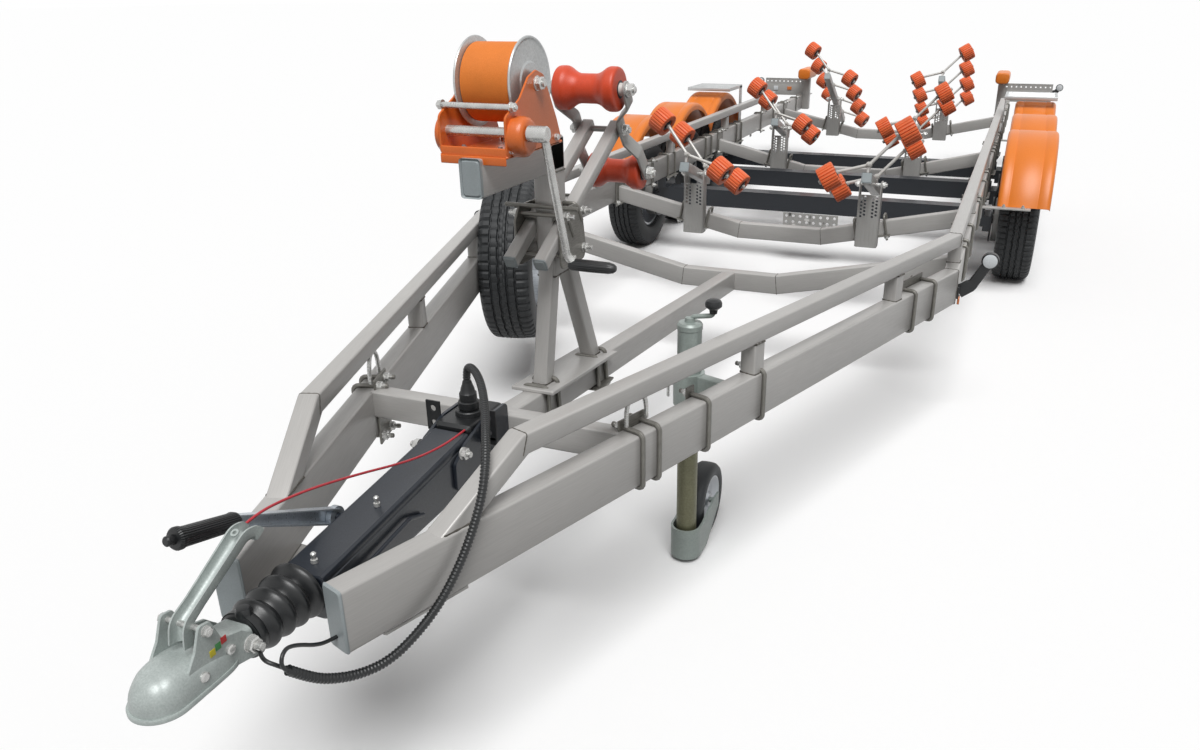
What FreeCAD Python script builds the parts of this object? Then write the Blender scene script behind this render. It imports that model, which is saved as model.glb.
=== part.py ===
"""Tri-axle boat trailer: tube drawbar frame, overrun coupling, winch stand, roller cradles, jockey wheel.

The nose points to -Y, the rear to +Y, +Z is up, and the ground is at z = 0 below the middle of the trailer.
"""
import FreeCAD, Part
import math
import os
import re

import Sketcher
from FreeCAD import Placement, Rotation, Vector

# Driving sizes, in millimetres and degrees. "back" is a distance behind the front end of the main beams,
# "rise" a height above the beams' top face and "drop" a depth below it.
SIZES = {
    # Whole trailer
    "nose_overhang": 310, "rear_overhang": 100, "beam_top": 588,
    # Main beams: V at the drawbar, parallel behind the bend
    "beam_width": 50, "beam_height": 125, "beam_front_gap": 90, "beam_rear_gap": 882,
    "bend_back": 2355, "beam_rear_back": 8150,
    # Upper rails and their posts
    "rail_size": 45, "rail_rise": 127, "rail_foot_back": 202, "rail_bend_back": 407, "rail_end_gap": 1150,
    "post_a_back": 1160, "post_b_back": 1910, "post_c_back": 2440, "post_d_back": 3300,
    "post_e_back": 4455, "post_f_back": 5600, "post_end_gap": 300,
    # Drawbar cross tube and keel beam
    "cross_tube_back": 706, "cross_tube_width": 45, "cross_tube_height": 70,
    "keel_width": 56, "keel_height": 78, "keel_front_drop": 24, "drawbar_plate_back": 60,
    "drawbar_plate_length": 180, "drawbar_plate_thick": 8,
    # Crossmembers: two rising arms and a short flat between them
    "cross_width": 50, "cross_height": 78, "cross_drop": 193, "cross_end_drop": 46,
    "cross_a_back": 2700, "cross_b_back": 3590, "cross_c_back": 5400, "cross_end_gap": 810,
    "cross_a_flat": 210, "cross_b_flat": 215, "cross_c_flat": 278, "cross_d_flat": 242,
    # Wheels
    "wheel_back": 4495, "wheel_pitch": 740, "tyre_gap": 84, "tyre_radius": 314, "tyre_width": 198,
    "tyre_shoulder_share": 0.82, "tyre_crown_share": 0.6, "tyre_bulge_share": 0.48, "tyre_low_share": 0.22,
    "tyre_high_share": 0.8, "tyre_edge_share": 0.96,
    "rim_radius": 178, "rim_width": 142, "rim_lip": 14, "rim_wall": 5, "disc_thick": 8, "disc_offset": 18,
    "hub_radius": 46, "drum_radius": 118, "drum_width": 54, "hub_cap_length": 30, "hub_end": 4,
    # Axles
    "axle_tube": 100, "axle_drop": 240, "arm_trail": 75, "arm_thick": 34, "arm_height": 84,
    "arm_inset": 175, "backplate_radius": 122, "backplate_thick": 8, "drum_gap": 7, "stub_radius": 22,
    "stub_clearance": 0.05, "stub_length": 92, "seat_length": 170,
    # Mudguards and steps
    "guard_radius": 482, "guard_inboard": 113, "guard_outboard": 137, "guard_lip": 44, "guard_wall": 5,
    "guard_round": 22, "guard_reach_share": 0.94, "guard_lap_share": 1.21, "corner_share": 0.293,
    "stay_width": 42, "stay_thick": 8, "stay_length": 230,
    "step_length": 330, "step_thick": 6, "step_rise": 250, "step_leg_width": 60,
    # Overrun unit
    "housing_front_back": 50, "housing_length": 500, "housing_width": 92, "housing_rear_height": 128,
    "housing_front_drop": 34, "housing_rear_drop": -22, "housing_round": 13, "cheek_thick": 8,
    "cheek_length": 230, "cheek_height": 120, "coupling_drop": 42,
    "bellows_radius": 56, "bellows_nose_radius": 47, "bellows_waist": 38, "bellows_length": 150,
    "bellows_collar": 18, "bellows_crest_share": 0.3,
    "neck_radius": 27, "neck_half": 30, "neck_length": 70, "neck_share": 0.95, "ball_radius": 25,
    "ball_clearance": 0.5,
    "cup_radius": 46, "cup_height": 62, "cup_rim": 4, "cup_rim_height": 8, "cup_round": 24,
    "neck_wide": 84, "neck_step_back": -150, "neck_round": 14, "neck_step_drop": 22, "neck_inset": 2,
    "lever_width": 34, "lever_depth": 22, "lever_wall": 4, "lever_pivot_back": -196, "lever_pivot_rise": 28,
    "lever_tip_back": -62, "lever_tip_rise": 104, "lever_hook_back": 22, "lever_hook_drop": 16,
    "brake_side": 72, "brake_thick": 8, "brake_bar": 22, "brake_root_back": 230, "brake_root_rise": -33,
    "brake_grip_back": -6, "brake_grip_rise": 88, "brake_tip_back": -131, "brake_tip_rise": 124,
    "grip_radius": 16,
    # Winch stand
    "stand_front_back": 925, "stand_rear_back": 1345, "stand_plate_width": 120, "stand_plate_thick": 10,
    "leg_width": 40, "leg_depth": 46, "column_back": 1032, "column_depth": 78, "column_width": 50,
    "column_foot_rise": 235, "arm_front_back": 705, "arm_rise": 500, "arm_depth": 83,
    "front_leg_back": 965, "rear_leg_back": 1262, "rear_leg_top_back": 1112,
    "prop_size": 32, "prop_front_back": 925, "prop_front_rise": 300,
    # Winch
    "winch_back": 868, "winch_rise": 724, "flange_radius": 97, "flange_thick": 4, "drum_half": 66,
    "spool_radius": 36, "strap_radius": 84, "strap_gap": 1.5, "frame_half": 82, "frame_wall": 5,
    "frame_front_back": 722, "frame_rear_back": 985, "frame_top_rise": 745, "frame_low_rise": 668,
    "gear_case_width": 34, "gear_cover_width": 14, "frame_lip": 16,
    "shaft_back": 752, "shaft_rise": 634, "shaft_radius": 11, "drum_pin_radius": 9,
    "pin_clearance": 0.05, "tie_back": 748, "tie_rise": 686, "tie_radius": 7,
    "crank_radius": 9, "crank_hub_radius": 17, "crank_hub_length": 42, "crank_reach": 96, "crank_drop": 300,
    "crank_grip_radius": 14, "crank_grip_length": 118,
    # Bow and keel rollers on their yoke
    "yoke_thick": 7, "yoke_bar": 42, "yoke_half": 100, "bow_back": 1322, "bow_rise": 671,
    "knee_back": 1388, "knee_rise": 560, "lower_back": 1502, "lower_rise": 428,
    "bow_half": 88, "bow_end_radius": 57, "bow_waist_radius": 38, "lower_half": 80, "lower_end_radius": 50,
    "lower_waist_radius": 33, "roller_pin_radius": 9,
    # Spare wheel
    "spare_back": 2100, "spare_drop": 57, "spare_gap": 3, "spare_boss_radius": 55,
    # Jockey wheel
    "jockey_x": 345, "jockey_back": 1155, "jockey_radius": 32, "jockey_top_rise": 118, "jockey_tube_drop": 160,
    "inner_radius": 28, "inner_clearance": 0.05, "jockey_wheel_radius": 110, "jockey_wheel_width": 62,
    "jockey_trail": 150, "fork_wall": 6, "fork_gap": 6, "jockey_pin_radius": 8, "fork_rise": 14,
    "fork_base": 8, "fork_height": 92, "fork_base_reach": 62, "fork_eye": 20, "king_pin_radius": 9,
    "king_pin_length": 40, "clamp_radius": 42, "clamp_length": 90, "clamp_plate_length": 240,
    "clamp_plate_thick": 8, "jockey_arm": 62, "jockey_knob_radius": 11, "jockey_knob_height": 58,
    "cap_height": 26,
    # Roller posts and cradles
    "post_side": 440, "channel_width": 128, "channel_depth": 56, "channel_wall": 5, "channel_top_rise": 66,
    "channel_length": 316, "cradle_tube": 46, "cradle_length": 372, "cradle_tilt": 19, "rear_cradle_length": 950,
    "rear_cradle_tilt": 27, "pivot_radius": 8, "pivot_rise": 50, "ear_height": 40,
    "rod_radius": 8, "rod_inset": 24, "roller_radius": 60, "roller_width": 80, "roller_slope": 34,
    "inboard_reach": 176, "inboard_drop": 66, "outboard_reach": 152, "outboard_lift": 158, "hub_gap": 8,
    # Rear end
    "board_lap": 10, "board_overhang": 10, "board_low": -12, "board_height": 150, "board_depth": 60,
    "upright_size": 60, "upright_rise": 150, "pad_width": 112, "pad_length": 330, "pad_height": 92,
    "pad_round": 26,
    "marker_radius": 11, "marker_base_back": 2425, "marker_base_drop": 100, "marker_reach": 96,
    "marker_lift": 122, "rear_marker_reach": 53, "rear_marker_lift": 48, "marker_foot": 44,
    "lens_radius": 30, "lens_thick": 30,
    # Plug, conduit and breakaway cable
    "plug_radius": 21, "plug_length": 70, "conduit_radius": 9, "cable_radius": 2.5,
    "web_notch": 62, "board_thick": 6, "thin_cable_radius": 3.5, "plug_x": 5, "plug_back": 620,
    # Plug holder and lever pivots
    "holder_gap": 2, "holder_rise": 34, "holder_height": 100, "brake_pin_radius": 8, "pin_head": 5,
    "lever_pin_radius": 5, "lever_boss_radius": 12, "lever_gap": 0.3, "prop_overhang": 22,
    # Small sizes of single pieces
    "cheek_rise": 34, "shaft_drop": 62, "cup_low": 26, "leg_lap": 40, "frame_boss_share": 4,
    "gear_case_radius": 42, "gear_case_shift": 12, "crank_gap": 5.5, "roller_shoulder_share": 0.8,
    "roller_edge_share": 0.88, "roller_flare_share": 0.62, "roller_waist_share": 0.28, "clamp_web": 30,
    "swivel_gap": 0.3, "jockey_leg_length": 464, "jockey_shoulder_share": 0.86, "jockey_crown_share": 0.55,
    "roller_clearance": 0.3,
    # Run-out of the tools that cut
    "overrun": 10,
}

DOC = FreeCAD.newDocument("BoatTrailer")
SHEET = DOC.addObject("Spreadsheet::Sheet", "Sizes")
NODES = []

BELLOWS_FOLDS = 4
CORD_REACH_SHARE = 0.45

# Formulas that several pieces share
FRONT = "((nose_overhang - beam_rear_back - rear_overhang) / 2)"
RAIL_END = "(beam_rear_back - rail_end_gap)"
CROSS_BACKS = {"a": "cross_a_back", "b": "cross_b_back", "c": "cross_c_back",
               "d": "(beam_rear_back - cross_end_gap)"}
HALF_TRACK = "(beam_rear_gap + beam_width + tyre_gap + tyre_width / 2)"
GUARD_INNER, GUARD_OUTER = f"({HALF_TRACK} - guard_inboard)", f"({HALF_TRACK} + guard_outboard)"
SLOPE = "atan2(beam_rear_gap - beam_front_gap; bend_back)"
ALONG_X, ALONG_Y, ALONG_Z = (1, 0, 0), (0, 1, 0), (0, 0, 1)


def fill_sheet():
    """Write every driving size into a cell of its own and name the cell."""
    for row, (name, size) in enumerate(SIZES.items(), start=1):
        SHEET.set(f"A{row}", name)
        SHEET.set(f"B{row}", str(size))
        SHEET.setAlias(f"B{row}", name)
    DOC.recompute()


def cells(formula):
    """Point each size named in a formula at its cell."""
    def point(match):
        word = match.group(0)
        return f"Sizes.{word}" if word in SIZES else word
    return re.sub(r"[a-z_]+", point, formula)


def bind(obj, **formulas):
    """Tie properties of an object to formulas of the sizes."""
    for name, formula in formulas.items():
        obj.setExpression(name, cells(formula))
    return obj


def place(obj, x="0", y="0", z="0", axis=None, angle="0"):
    """Put an object's own origin at a point, turned about an axis."""
    if axis is not None:
        obj.Placement = Placement(Vector(), Rotation(Vector(*axis), 1))
        obj.setExpression("Placement.Rotation.Angle", cells(angle))
    for key, formula in zip("xyz", (x, y, z)):
        obj.setExpression(f"Placement.Base.{key}", cells(formula))
    return obj


def block(name, size, corner, axis=None, angle="0"):
    """A plain bar or plate from its corner."""
    obj = bind(DOC.addObject("Part::Box", name), Length=size[0], Width=size[1], Height=size[2])
    return place(obj, *corner, axis=axis, angle=angle)


def rod(name, radius, length, start, along="z"):
    """A round bar that runs from a point along one of the axes."""
    obj = bind(DOC.addObject("Part::Cylinder", name), Radius=radius, Height=length)
    turns = {"x": (ALONG_Y, "90"), "y": (ALONG_X, "-90"), "z": (None, "0")}
    axis, angle = turns[along]
    return place(obj, *start, axis=axis, angle=angle)


def leaning_rod(name, radius, start, end, back="0"):
    """A round bar between two points of one cross plane, each given as (x, z) formulas."""
    run, rise = f"(({end[0]}) - ({start[0]}))", f"(({end[1]}) - ({start[1]}))"
    obj = bind(DOC.addObject("Part::Cylinder", name), Radius=radius, Height=f"sqrt({run}^2 + {rise}^2)")
    return place(obj, start[0], back, start[1], axis=ALONG_Y, angle=f"atan2({run}; {rise})")


def ball(name, radius, centre):
    """A ball, used to round the bend of a bar."""
    return place(bind(DOC.addObject("Part::Sphere", name), Radius=radius), *centre)


def origin_plane(body, role):
    """One of the body's own base planes."""
    return next(item for item in body.Origin.OriginFeatures if item.Role == role)


def number(formula):
    """The present value of a formula, which seeds a sketch before its constraints take over."""
    result = SHEET.evalExpression(cells(formula))
    return float(getattr(result, "Value", result))


def outline_sketch(body, plane, outline):
    """A closed outline of straight edges whose corners are held by formulas."""
    sketch = body.newObject("Sketcher::SketchObject", body.Name + "Outline")
    sketch.AttachmentSupport = [(origin_plane(body, plane), "")]
    sketch.MapMode = "FlatFace"
    corners = [(number(u), number(v)) for u, v in outline]
    for index, corner in enumerate(corners):
        following = corners[(index + 1) % len(corners)]
        sketch.addGeometry(Part.LineSegment(Vector(*corner, 0), Vector(*following, 0)))
    for index in range(len(corners)):
        sketch.addConstraint(Sketcher.Constraint("Coincident", index, 2, (index + 1) % len(corners), 1))
    for index, formulas in enumerate(outline):
        for way, formula, seed in zip("XY", formulas, corners[index]):
            held = sketch.addConstraint(Sketcher.Constraint(f"Distance{way}", -1, 1, index, 1, seed))
            sketch.setExpression(f"Constraints[{held}]", cells(formula))
    return sketch


def pad(name, plane, outline, length, at=("0", "0", "0"), axis=None, angle="0"):
    """An outline drawn out to a plate or bar. From XZ_Plane it grows towards -Y."""
    body = DOC.addObject("PartDesign::Body", name)
    feature = body.newObject("PartDesign::Pad", name + "Pad")
    feature.Profile = outline_sketch(body, plane, outline)
    bind(feature, Length=length)
    body.Tip = feature
    return place(body, *at, axis=axis, angle=angle)


def spin(name, plane, outline, about="H_Axis", angle="360", at=("0", "0", "0"), axis=None, turn="0"):
    """An outline turned about its sketch's own H_Axis or V_Axis, evenly to both sides of the sketch."""
    body = DOC.addObject("PartDesign::Body", name)
    sketch = outline_sketch(body, plane, outline)
    feature = body.newObject("PartDesign::Revolution", name + "Turn")
    feature.Profile = sketch
    feature.ReferenceAxis = (sketch, [about])
    feature.Midplane = True
    bind(feature, Angle=angle)
    body.Tip = feature
    return place(body, *at, axis=axis, angle=turn)


def loft(name, plane, sections, at):
    """Straight walls through outlines in parallel planes, each given with its distance from the body's own plane."""
    body = DOC.addObject("PartDesign::Body", name)
    sketches = []
    for distance, outline in sections:
        sketch = outline_sketch(body, plane, outline)
        sketch.setExpression("AttachmentOffset.Base.z", cells(distance))
        sketches.append(sketch)
    feature = body.newObject("PartDesign::AdditiveLoft", name + "Loft")
    feature.Profile, feature.Sections, feature.Ruled = sketches[0], sketches[1:], True
    body.Tip = feature
    return place(body, *at)


def mirrored_outline(side):
    """Both halves of an outline that is even about its second axis, from its right half."""
    return side + [(f"-({u})", v) for u, v in reversed(side)]


def rounded_outline(width, low, high, radius):
    """A rectangle even about its second axis, whose corners are rounded in two steps."""
    half, nick = f"{width} / 2", f"{radius} * corner_share"
    return mirrored_outline([
        (f"{half} - {radius}", low), (f"{half} - {nick}", f"{low} + {nick}"), (half, f"{low} + {radius}"),
        (half, f"{high} - {radius}"), (f"{half} - {nick}", f"{high} - {nick}"), (f"{half} - {radius}", high),
    ])


def join(name, pieces):
    """Pieces welded or moulded into one solid."""
    obj = DOC.addObject("Part::MultiFuse", name)
    obj.Shapes = pieces
    return obj


def cut(name, base, tool):
    """A piece with a tool's shape taken away."""
    obj = DOC.addObject("Part::Cut", name)
    obj.Base, obj.Tool = base, tool
    return obj


def common(name, first, second):
    """What two shapes share."""
    obj = DOC.addObject("Part::Common", name)
    obj.Base, obj.Tool = first, second
    return obj


def mirror(name, source):
    """The same piece on the other side of the trailer."""
    obj = DOC.addObject("Part::Mirroring", name)
    obj.Source, obj.Base, obj.Normal = source, Vector(), Vector(*ALONG_X)
    return obj


def group(name, pieces):
    """Like pieces that don't touch, kept together as one sub-part."""
    obj = DOC.addObject("Part::Compound", name)
    obj.Links = pieces
    return obj


def keep(obj, label):
    """Make an object one of the trailer's sub-parts."""
    obj.Label = label
    NODES.append(obj)
    return obj


# Frame

def slope_x(back):
    """Where the beam's inner face stands at a distance behind its front end."""
    return f"(beam_front_gap + tan({SLOPE}) * ({back}))"


def bent_outline(start, end, width):
    """Plan of a right-hand member that follows the beam's inner face, mitred at the bend."""
    return [
        (slope_x(start), start),
        ("beam_rear_gap", "bend_back"),
        ("beam_rear_gap", end),
        (f"beam_rear_gap + {width}", end),
        (f"beam_rear_gap + {width}", f"bend_back - {width} * tan({SLOPE} / 2)"),
        (f"{slope_x(start)} + {width} * cos({SLOPE})", f"{start} - {width} * sin({SLOPE})"),
    ]


def main_beams():
    right = pad("BeamRight", "XY_Plane", bent_outline("0", "beam_rear_back", "beam_width"), "beam_height",
                at=("0", FRONT, "beam_top - beam_height"))
    left = join("BeamLeftWithBoss", [mirror("BeamLeft", right), spare_boss()])
    keep(group("MainBeams", [right, left]), "main_beams")


def top_rail():
    """Upper rail with its sloping foot and the posts that carry it."""
    run = pad("RailRun", "XY_Plane", bent_outline("rail_bend_back", RAIL_END, "rail_size"), "rail_size",
              at=("0", FRONT, "beam_top + rail_rise - rail_size"))
    foot, bend = f"(rail_foot_back / cos({SLOPE}))", f"(rail_bend_back / cos({SLOPE}))"
    lean = f"atan2(rail_rise; {bend} - {foot})"
    corner = f"({bend} + rail_size * tan({lean} / 2))"
    end = pad("RailFoot", "YZ_Plane", [
        (foot, "0"), (bend, "rail_rise"), (corner, "rail_rise"), (corner, "rail_rise - rail_size"),
        (f"{foot} + rail_size / sin({lean})", "0"),
    ], "rail_size", at=("beam_front_gap", FRONT, "beam_top"), axis=ALONG_Z, angle=f"-({SLOPE})")
    posts = [run, end]
    for mark in "ab":
        back = f"post_{mark}_back"
        posts.append(block(f"RailPost{mark.upper()}", ("rail_size", "rail_size", "rail_rise - rail_size"),
                           (slope_x(back), f"{FRONT} + {back}", "beam_top"), ALONG_Z, f"-({SLOPE})"))
    for back in ("post_c_back", "post_d_back", "post_e_back", "post_f_back", f"{RAIL_END} - post_end_gap"):
        posts.append(block("RailPost", ("rail_size", "rail_size", "rail_rise - rail_size"),
                           ("beam_rear_gap", f"{FRONT} + {back}", "beam_top")))
    right = join("RailRight", posts)
    keep(group("TopRails", [right, mirror("RailLeft", right)]), "top_rails")


def drawbar():
    """The cross tube between the beams, the keel beam behind it and the plate under the overrun unit."""
    def tie(name, start, length, height, top, lap="0"):
        end = f"({start} + {length})"
        near, far = f"({slope_x(start)} + {lap})", f"({slope_x(end)} + {lap})"
        return pad(name, "XY_Plane", [(f"-{near}", start), (near, start), (far, end), (f"-{far}", end)],
                   height, at=("0", FRONT, f"{top} - {height}"))
    keep(group("DrawbarTies", [
        tie("CrossTube", "cross_tube_back", "cross_tube_width", "cross_tube_height", "beam_top"),
        tie("DrawbarPlate", "drawbar_plate_back", "drawbar_plate_length", "drawbar_plate_thick",
            "beam_top - beam_height", lap="beam_width"),
    ]), "drawbar_ties")
    front, rear = "cross_tube_back + cross_tube_width", "cross_a_back"
    keep(pad("KeelBeam", "YZ_Plane", [
        (front, "-keel_front_drop"), (rear, "-cross_drop"), (rear, "-cross_drop - keel_height"),
        (front, "-keel_front_drop - keel_height"),
    ], "keel_width", at=("-keel_width / 2", FRONT, "beam_top")), "keel_beam")


def crossmembers():
    """Four V-shaped crossmembers that leave room for the hull."""
    members = []
    for mark in "abcd":
        flat, back = f"cross_{mark}_flat", CROSS_BACKS[mark]
        lean = f"atan2(cross_drop - cross_end_drop; beam_rear_gap - {flat})"
        low = f"({flat} - cross_height * tan({lean} / 2))"
        right = [(flat, "-cross_drop"), ("beam_rear_gap", "-cross_end_drop"),
                 ("beam_rear_gap", f"-cross_end_drop - cross_height / cos({lean})"),
                 (low, "-cross_drop - cross_height")]
        left = [(f"-({u})", v) for u, v in reversed(right)]
        members.append(pad(f"Crossmember{mark.upper()}", "XZ_Plane", right + left, "cross_width",
                           at=("0", f"{FRONT} + {back} + cross_width", "beam_top")))
    keep(group("Crossmembers", members), "crossmembers")


# Axles and wheels

ARM_X = f"({HALF_TRACK} - arm_inset)"
PLATE_X = f"({ARM_X} + arm_thick)"
DRUM_X = f"({PLATE_X} + backplate_thick + drum_gap)"


def wheel_y(index):
    """Where an axle's wheels stand along the trailer."""
    return f"({FRONT} + wheel_back + {index} * wheel_pitch)"


def outward(sign, start, length):
    """Corner of a length that runs outward from a distance off the middle, on the right (1) or left (-1)."""
    return start if sign > 0 else f"-({start}) - ({length})"


def axle(index):
    """One axle: square tube, seats under the beams, trailing arms, brake backplates and stub axles."""
    name, hub = f"Axle{index}", wheel_y(index)
    middle, height = f"({hub} - arm_trail)", "(beam_top - axle_drop)"
    pieces = [block(name + "Tube", (f"2 * {ARM_X}", "axle_tube", "axle_tube"),
                    (f"-{ARM_X}", f"{middle} - axle_tube / 2", f"{height} - axle_tube / 2"))]
    seat_size = ("beam_width", "seat_length", "axle_drop - beam_height - axle_tube / 2")
    arm_size = ("arm_thick", "axle_tube / 2 + arm_trail + arm_height / 2", "arm_height")
    for sign in (1, -1):
        pieces.append(block(f"{name}Seat", seat_size, (
            outward(sign, "beam_rear_gap", "beam_width"), f"{middle} - seat_length / 2", f"{height} + axle_tube / 2")))
        pieces.append(block(f"{name}Arm", arm_size, (
            outward(sign, ARM_X, "arm_thick"), f"{middle} - axle_tube / 2", "tyre_radius - arm_height / 2")))
        for radius, length in (("backplate_radius", "backplate_thick"), ("stub_radius", "stub_length")):
            pieces.append(rod(f"{name}Stub", radius, length, (outward(sign, PLATE_X, length), hub, "tyre_radius"), "x"))
    return join(name, pieces)


def tyre_outline():
    """Half section of a tyre: bead, bulged side wall, shoulder and flat crown."""
    wall = "(tyre_radius - rim_radius)"
    inner = "rim_width / 2 - rim_wall"
    return mirrored_outline([
        (inner, "rim_radius"), (inner, "rim_radius + rim_lip"),
        ("tyre_width / 2 * tyre_edge_share", f"rim_radius + rim_lip + {wall} * tyre_low_share / 2"),
        ("tyre_width / 2", f"rim_radius + {wall} * tyre_bulge_share"),
        ("tyre_width / 2 * tyre_edge_share", f"rim_radius + {wall} * tyre_high_share"),
        ("tyre_width / 2 * tyre_shoulder_share", f"tyre_radius - {wall} * tyre_low_share / 4"),
        ("tyre_width / 2 * tyre_crown_share", "tyre_radius"),
    ])


def rim_outline(stub):
    """Half section of a rim with its disc and hub, and with brake drum and bore where it runs on a stub axle."""
    half, well = "(rim_width / 2)", "(rim_radius - rim_wall)"
    barrel = [
        (f"-{half}", f"{well}"), (f"-{half}", "rim_radius + rim_lip"), (f"-{half} + rim_wall", "rim_radius + rim_lip"),
        (f"-{half} + rim_wall", "rim_radius"), (f"{half} - rim_wall", "rim_radius"),
        (f"{half} - rim_wall", "rim_radius + rim_lip"), (half, "rim_radius + rim_lip"), (half, well),
        ("disc_offset + disc_thick", well), ("disc_offset + disc_thick", "hub_radius"),
        ("disc_offset + disc_thick + hub_cap_length", "hub_radius"),
        ("disc_offset + disc_thick + hub_cap_length", "0"),
    ]
    if not stub:
        return barrel + [("disc_offset", "0"), ("disc_offset", well)]
    drum, bore = f"({DRUM_X} - {HALF_TRACK})", "stub_radius + stub_clearance"
    end = f"({PLATE_X} - {HALF_TRACK} + stub_length + hub_end)"
    return barrel + [
        (end, "0"), (end, bore), (drum, bore), (drum, "drum_radius"), (f"{drum} + drum_width", "drum_radius"),
        (f"{drum} + drum_width", "hub_radius"), ("disc_offset", "hub_radius"), ("disc_offset", well),
    ]


def wheels():
    """Six road wheels, each a tyre on a rim with its hub and drum."""
    for index, mark in enumerate(("front", "middle", "rear")):
        at = (HALF_TRACK, wheel_y(index), "tyre_radius")
        for kind, outline in (("tyre", tyre_outline()), ("rim", rim_outline(True))):
            right = spin(f"{kind.title()}{mark.title()}Right", "XZ_Plane", outline, at=at)
            keep(right, f"{kind}_{mark}_right")
            keep(mirror(f"{kind.title()}{mark.title()}Left", right), f"{kind}_{mark}_left")


def axles():
    keep(group("Axles", [axle(index) for index in range(3)]), "axles")


# Mudguards

def guard_outline():
    """Section of the mudguard's shell at its top, with rounded shoulders and turned-down lips."""
    inner, outer, nick = GUARD_INNER, GUARD_OUTER, "guard_round * corner_share"
    low, high, bevel = "guard_radius - guard_lip", "guard_radius", "guard_round"
    under = "guard_radius - guard_wall"
    return [
        (inner, low), (inner, f"{high} - {bevel}"), (f"{inner} + {nick}", f"{high} - {nick}"),
        (f"{inner} + {bevel}", high), (f"{outer} - {bevel}", high), (f"{outer} - {nick}", f"{high} - {nick}"),
        (outer, f"{high} - {bevel}"), (outer, low), (f"{outer} - guard_wall", low),
        (f"{outer} - guard_wall", f"{high} - {bevel}"), (f"{outer} - {bevel}", under), (f"{inner} + {bevel}", under),
        (f"{inner} + guard_wall", f"{high} - {bevel}"), (f"{inner} + guard_wall", low),
    ]


def mudguards():
    """Three arches a side, mitred halfway between the wheels."""
    arches = []
    valley = "asin(wheel_pitch / 2 / guard_radius) * guard_lap_share"
    edge = "asin(guard_reach_share)"
    spans = ((edge, valley), (valley, valley), (valley, edge))
    for index, (front, rear) in enumerate(spans):
        arch = spin(f"Arch{index}", "XZ_Plane", guard_outline(), angle=f"{front} + {rear}",
                    at=("0", wheel_y(index), "tyre_radius"), axis=ALONG_X, turn=f"({front} - {rear}) / 2")
        start = f"{wheel_y(index)} - " + ("2 * guard_radius" if index == 0 else "wheel_pitch / 2")
        end = f"{wheel_y(index)} + " + ("2 * guard_radius" if index == 2 else "wheel_pitch / 2")
        window = block(f"ArchWindow{index}", (GUARD_OUTER, f"({end}) - ({start})", "beam_top + guard_radius"),
                       (f"{GUARD_INNER} - overrun", start, "0"))
        arches.append(common(f"ArchPart{index}", arch, window))
    right = join("MudguardRight", arches)
    keep(group("Mudguards", [right, mirror("MudguardLeft", right)]), "mudguards")


def mudguard_stays():
    """Flat stays from the beams to the mudguards, and the tread steps over the rear wheels."""
    reach = "(guard_radius * guard_reach_share)"
    height = f"(tyre_radius + sqrt(guard_radius^2 - {reach}^2))"
    start = "(beam_rear_gap + beam_width)"
    pieces = []
    for index, way in ((0, -1), (2, 1)):
        edge = f"{wheel_y(index)} + {way} * ({reach})"
        y = f"{edge} - stay_width" if way < 0 else edge
        pieces.append(block(f"Stay{index}", ("stay_length", "stay_width", "stay_thick"),
                            (start, y, f"{height} - stay_thick")))
    leg = block("StepLeg", ("step_thick", "step_leg_width", "step_rise + beam_height / 2"),
                (start, f"{wheel_y(2)} + step_length / 2 - step_leg_width", "beam_top - beam_height / 2"))
    tread = block("StepTread", (f"{GUARD_OUTER} - {start}", "step_length", "step_thick"),
                  (start, f"{wheel_y(2)} - step_length / 2", "beam_top + step_rise"))
    pieces.append(join("Step", [leg, tread]))
    right = group("StaysRight", pieces)
    keep(group("Stays", [right, mirror("StaysLeft", right)]), "mudguard_stays")


# Overrun coupling

def overrun_unit():
    """Tapered housing, the cheeks that join it to the cross tube, the plug's holder and the handbrake's pivot."""
    front, rear = "housing_front_back", "(housing_front_back + housing_length)"
    body = loft("Housing", "XZ_Plane", [
        (f"-({front})", rounded_outline("housing_width", "-beam_height", "-housing_front_drop", "housing_round")),
        (f"-{rear}", rounded_outline("housing_width", "-housing_rear_drop - housing_rear_height",
                                     "-housing_rear_drop", "housing_round")),
    ], ("0", FRONT, "beam_top"))
    cheeks = [block("Cheek", ("cheek_thick", "cheek_length", "cheek_height"), (
        outward(sign, "housing_width / 2", "cheek_thick"), f"{FRONT} + cross_tube_back - cheek_length",
        "beam_top - cheek_height + cheek_rise")) for sign in (1, -1)]
    holder = block("PlugHolder", ("housing_width", f"cross_tube_back - {rear} - holder_gap", "holder_height"),
                   ("-housing_width / 2", f"{FRONT} + {rear}", "beam_top + holder_rise - holder_height"))
    pivot = rod("BrakePivot", "brake_pin_radius", "brake_side + pin_head - housing_width / 2", (
        "-brake_side - pin_head", f"{FRONT} + brake_root_back", "beam_top + brake_root_rise"), "x")
    keep(join("OverrunHousing", [body, holder, pivot] + cheeks), "overrun_housing")


def bellows():
    """Folded rubber sleeve between the housing and the coupling: a collar and folds that widen to the rear."""
    step = f"((bellows_length - bellows_collar) / {BELLOWS_FOLDS})"
    rim = [("0", "0"), ("bellows_waist", "0")]
    for fold in range(BELLOWS_FOLDS):
        crest = f"bellows_nose_radius + (bellows_radius - bellows_nose_radius) * {fold} / {BELLOWS_FOLDS - 1}"
        start, middle = f"bellows_collar + {fold} * {step}", f"bellows_collar + ({fold} + 1 / 2) * {step}"
        rim += [("bellows_waist", start), (crest, f"{middle} - {step} * bellows_crest_share / 2"),
                (crest, f"{middle} + {step} * bellows_crest_share / 2")]
    rim += [("bellows_waist", "bellows_length"), ("0", "bellows_length")]
    keep(spin("Bellows", "XY_Plane", rim, about="V_Axis",
              at=("0", f"{FRONT} + housing_front_back - bellows_length", "beam_top - shaft_drop")), "bellows")


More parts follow.
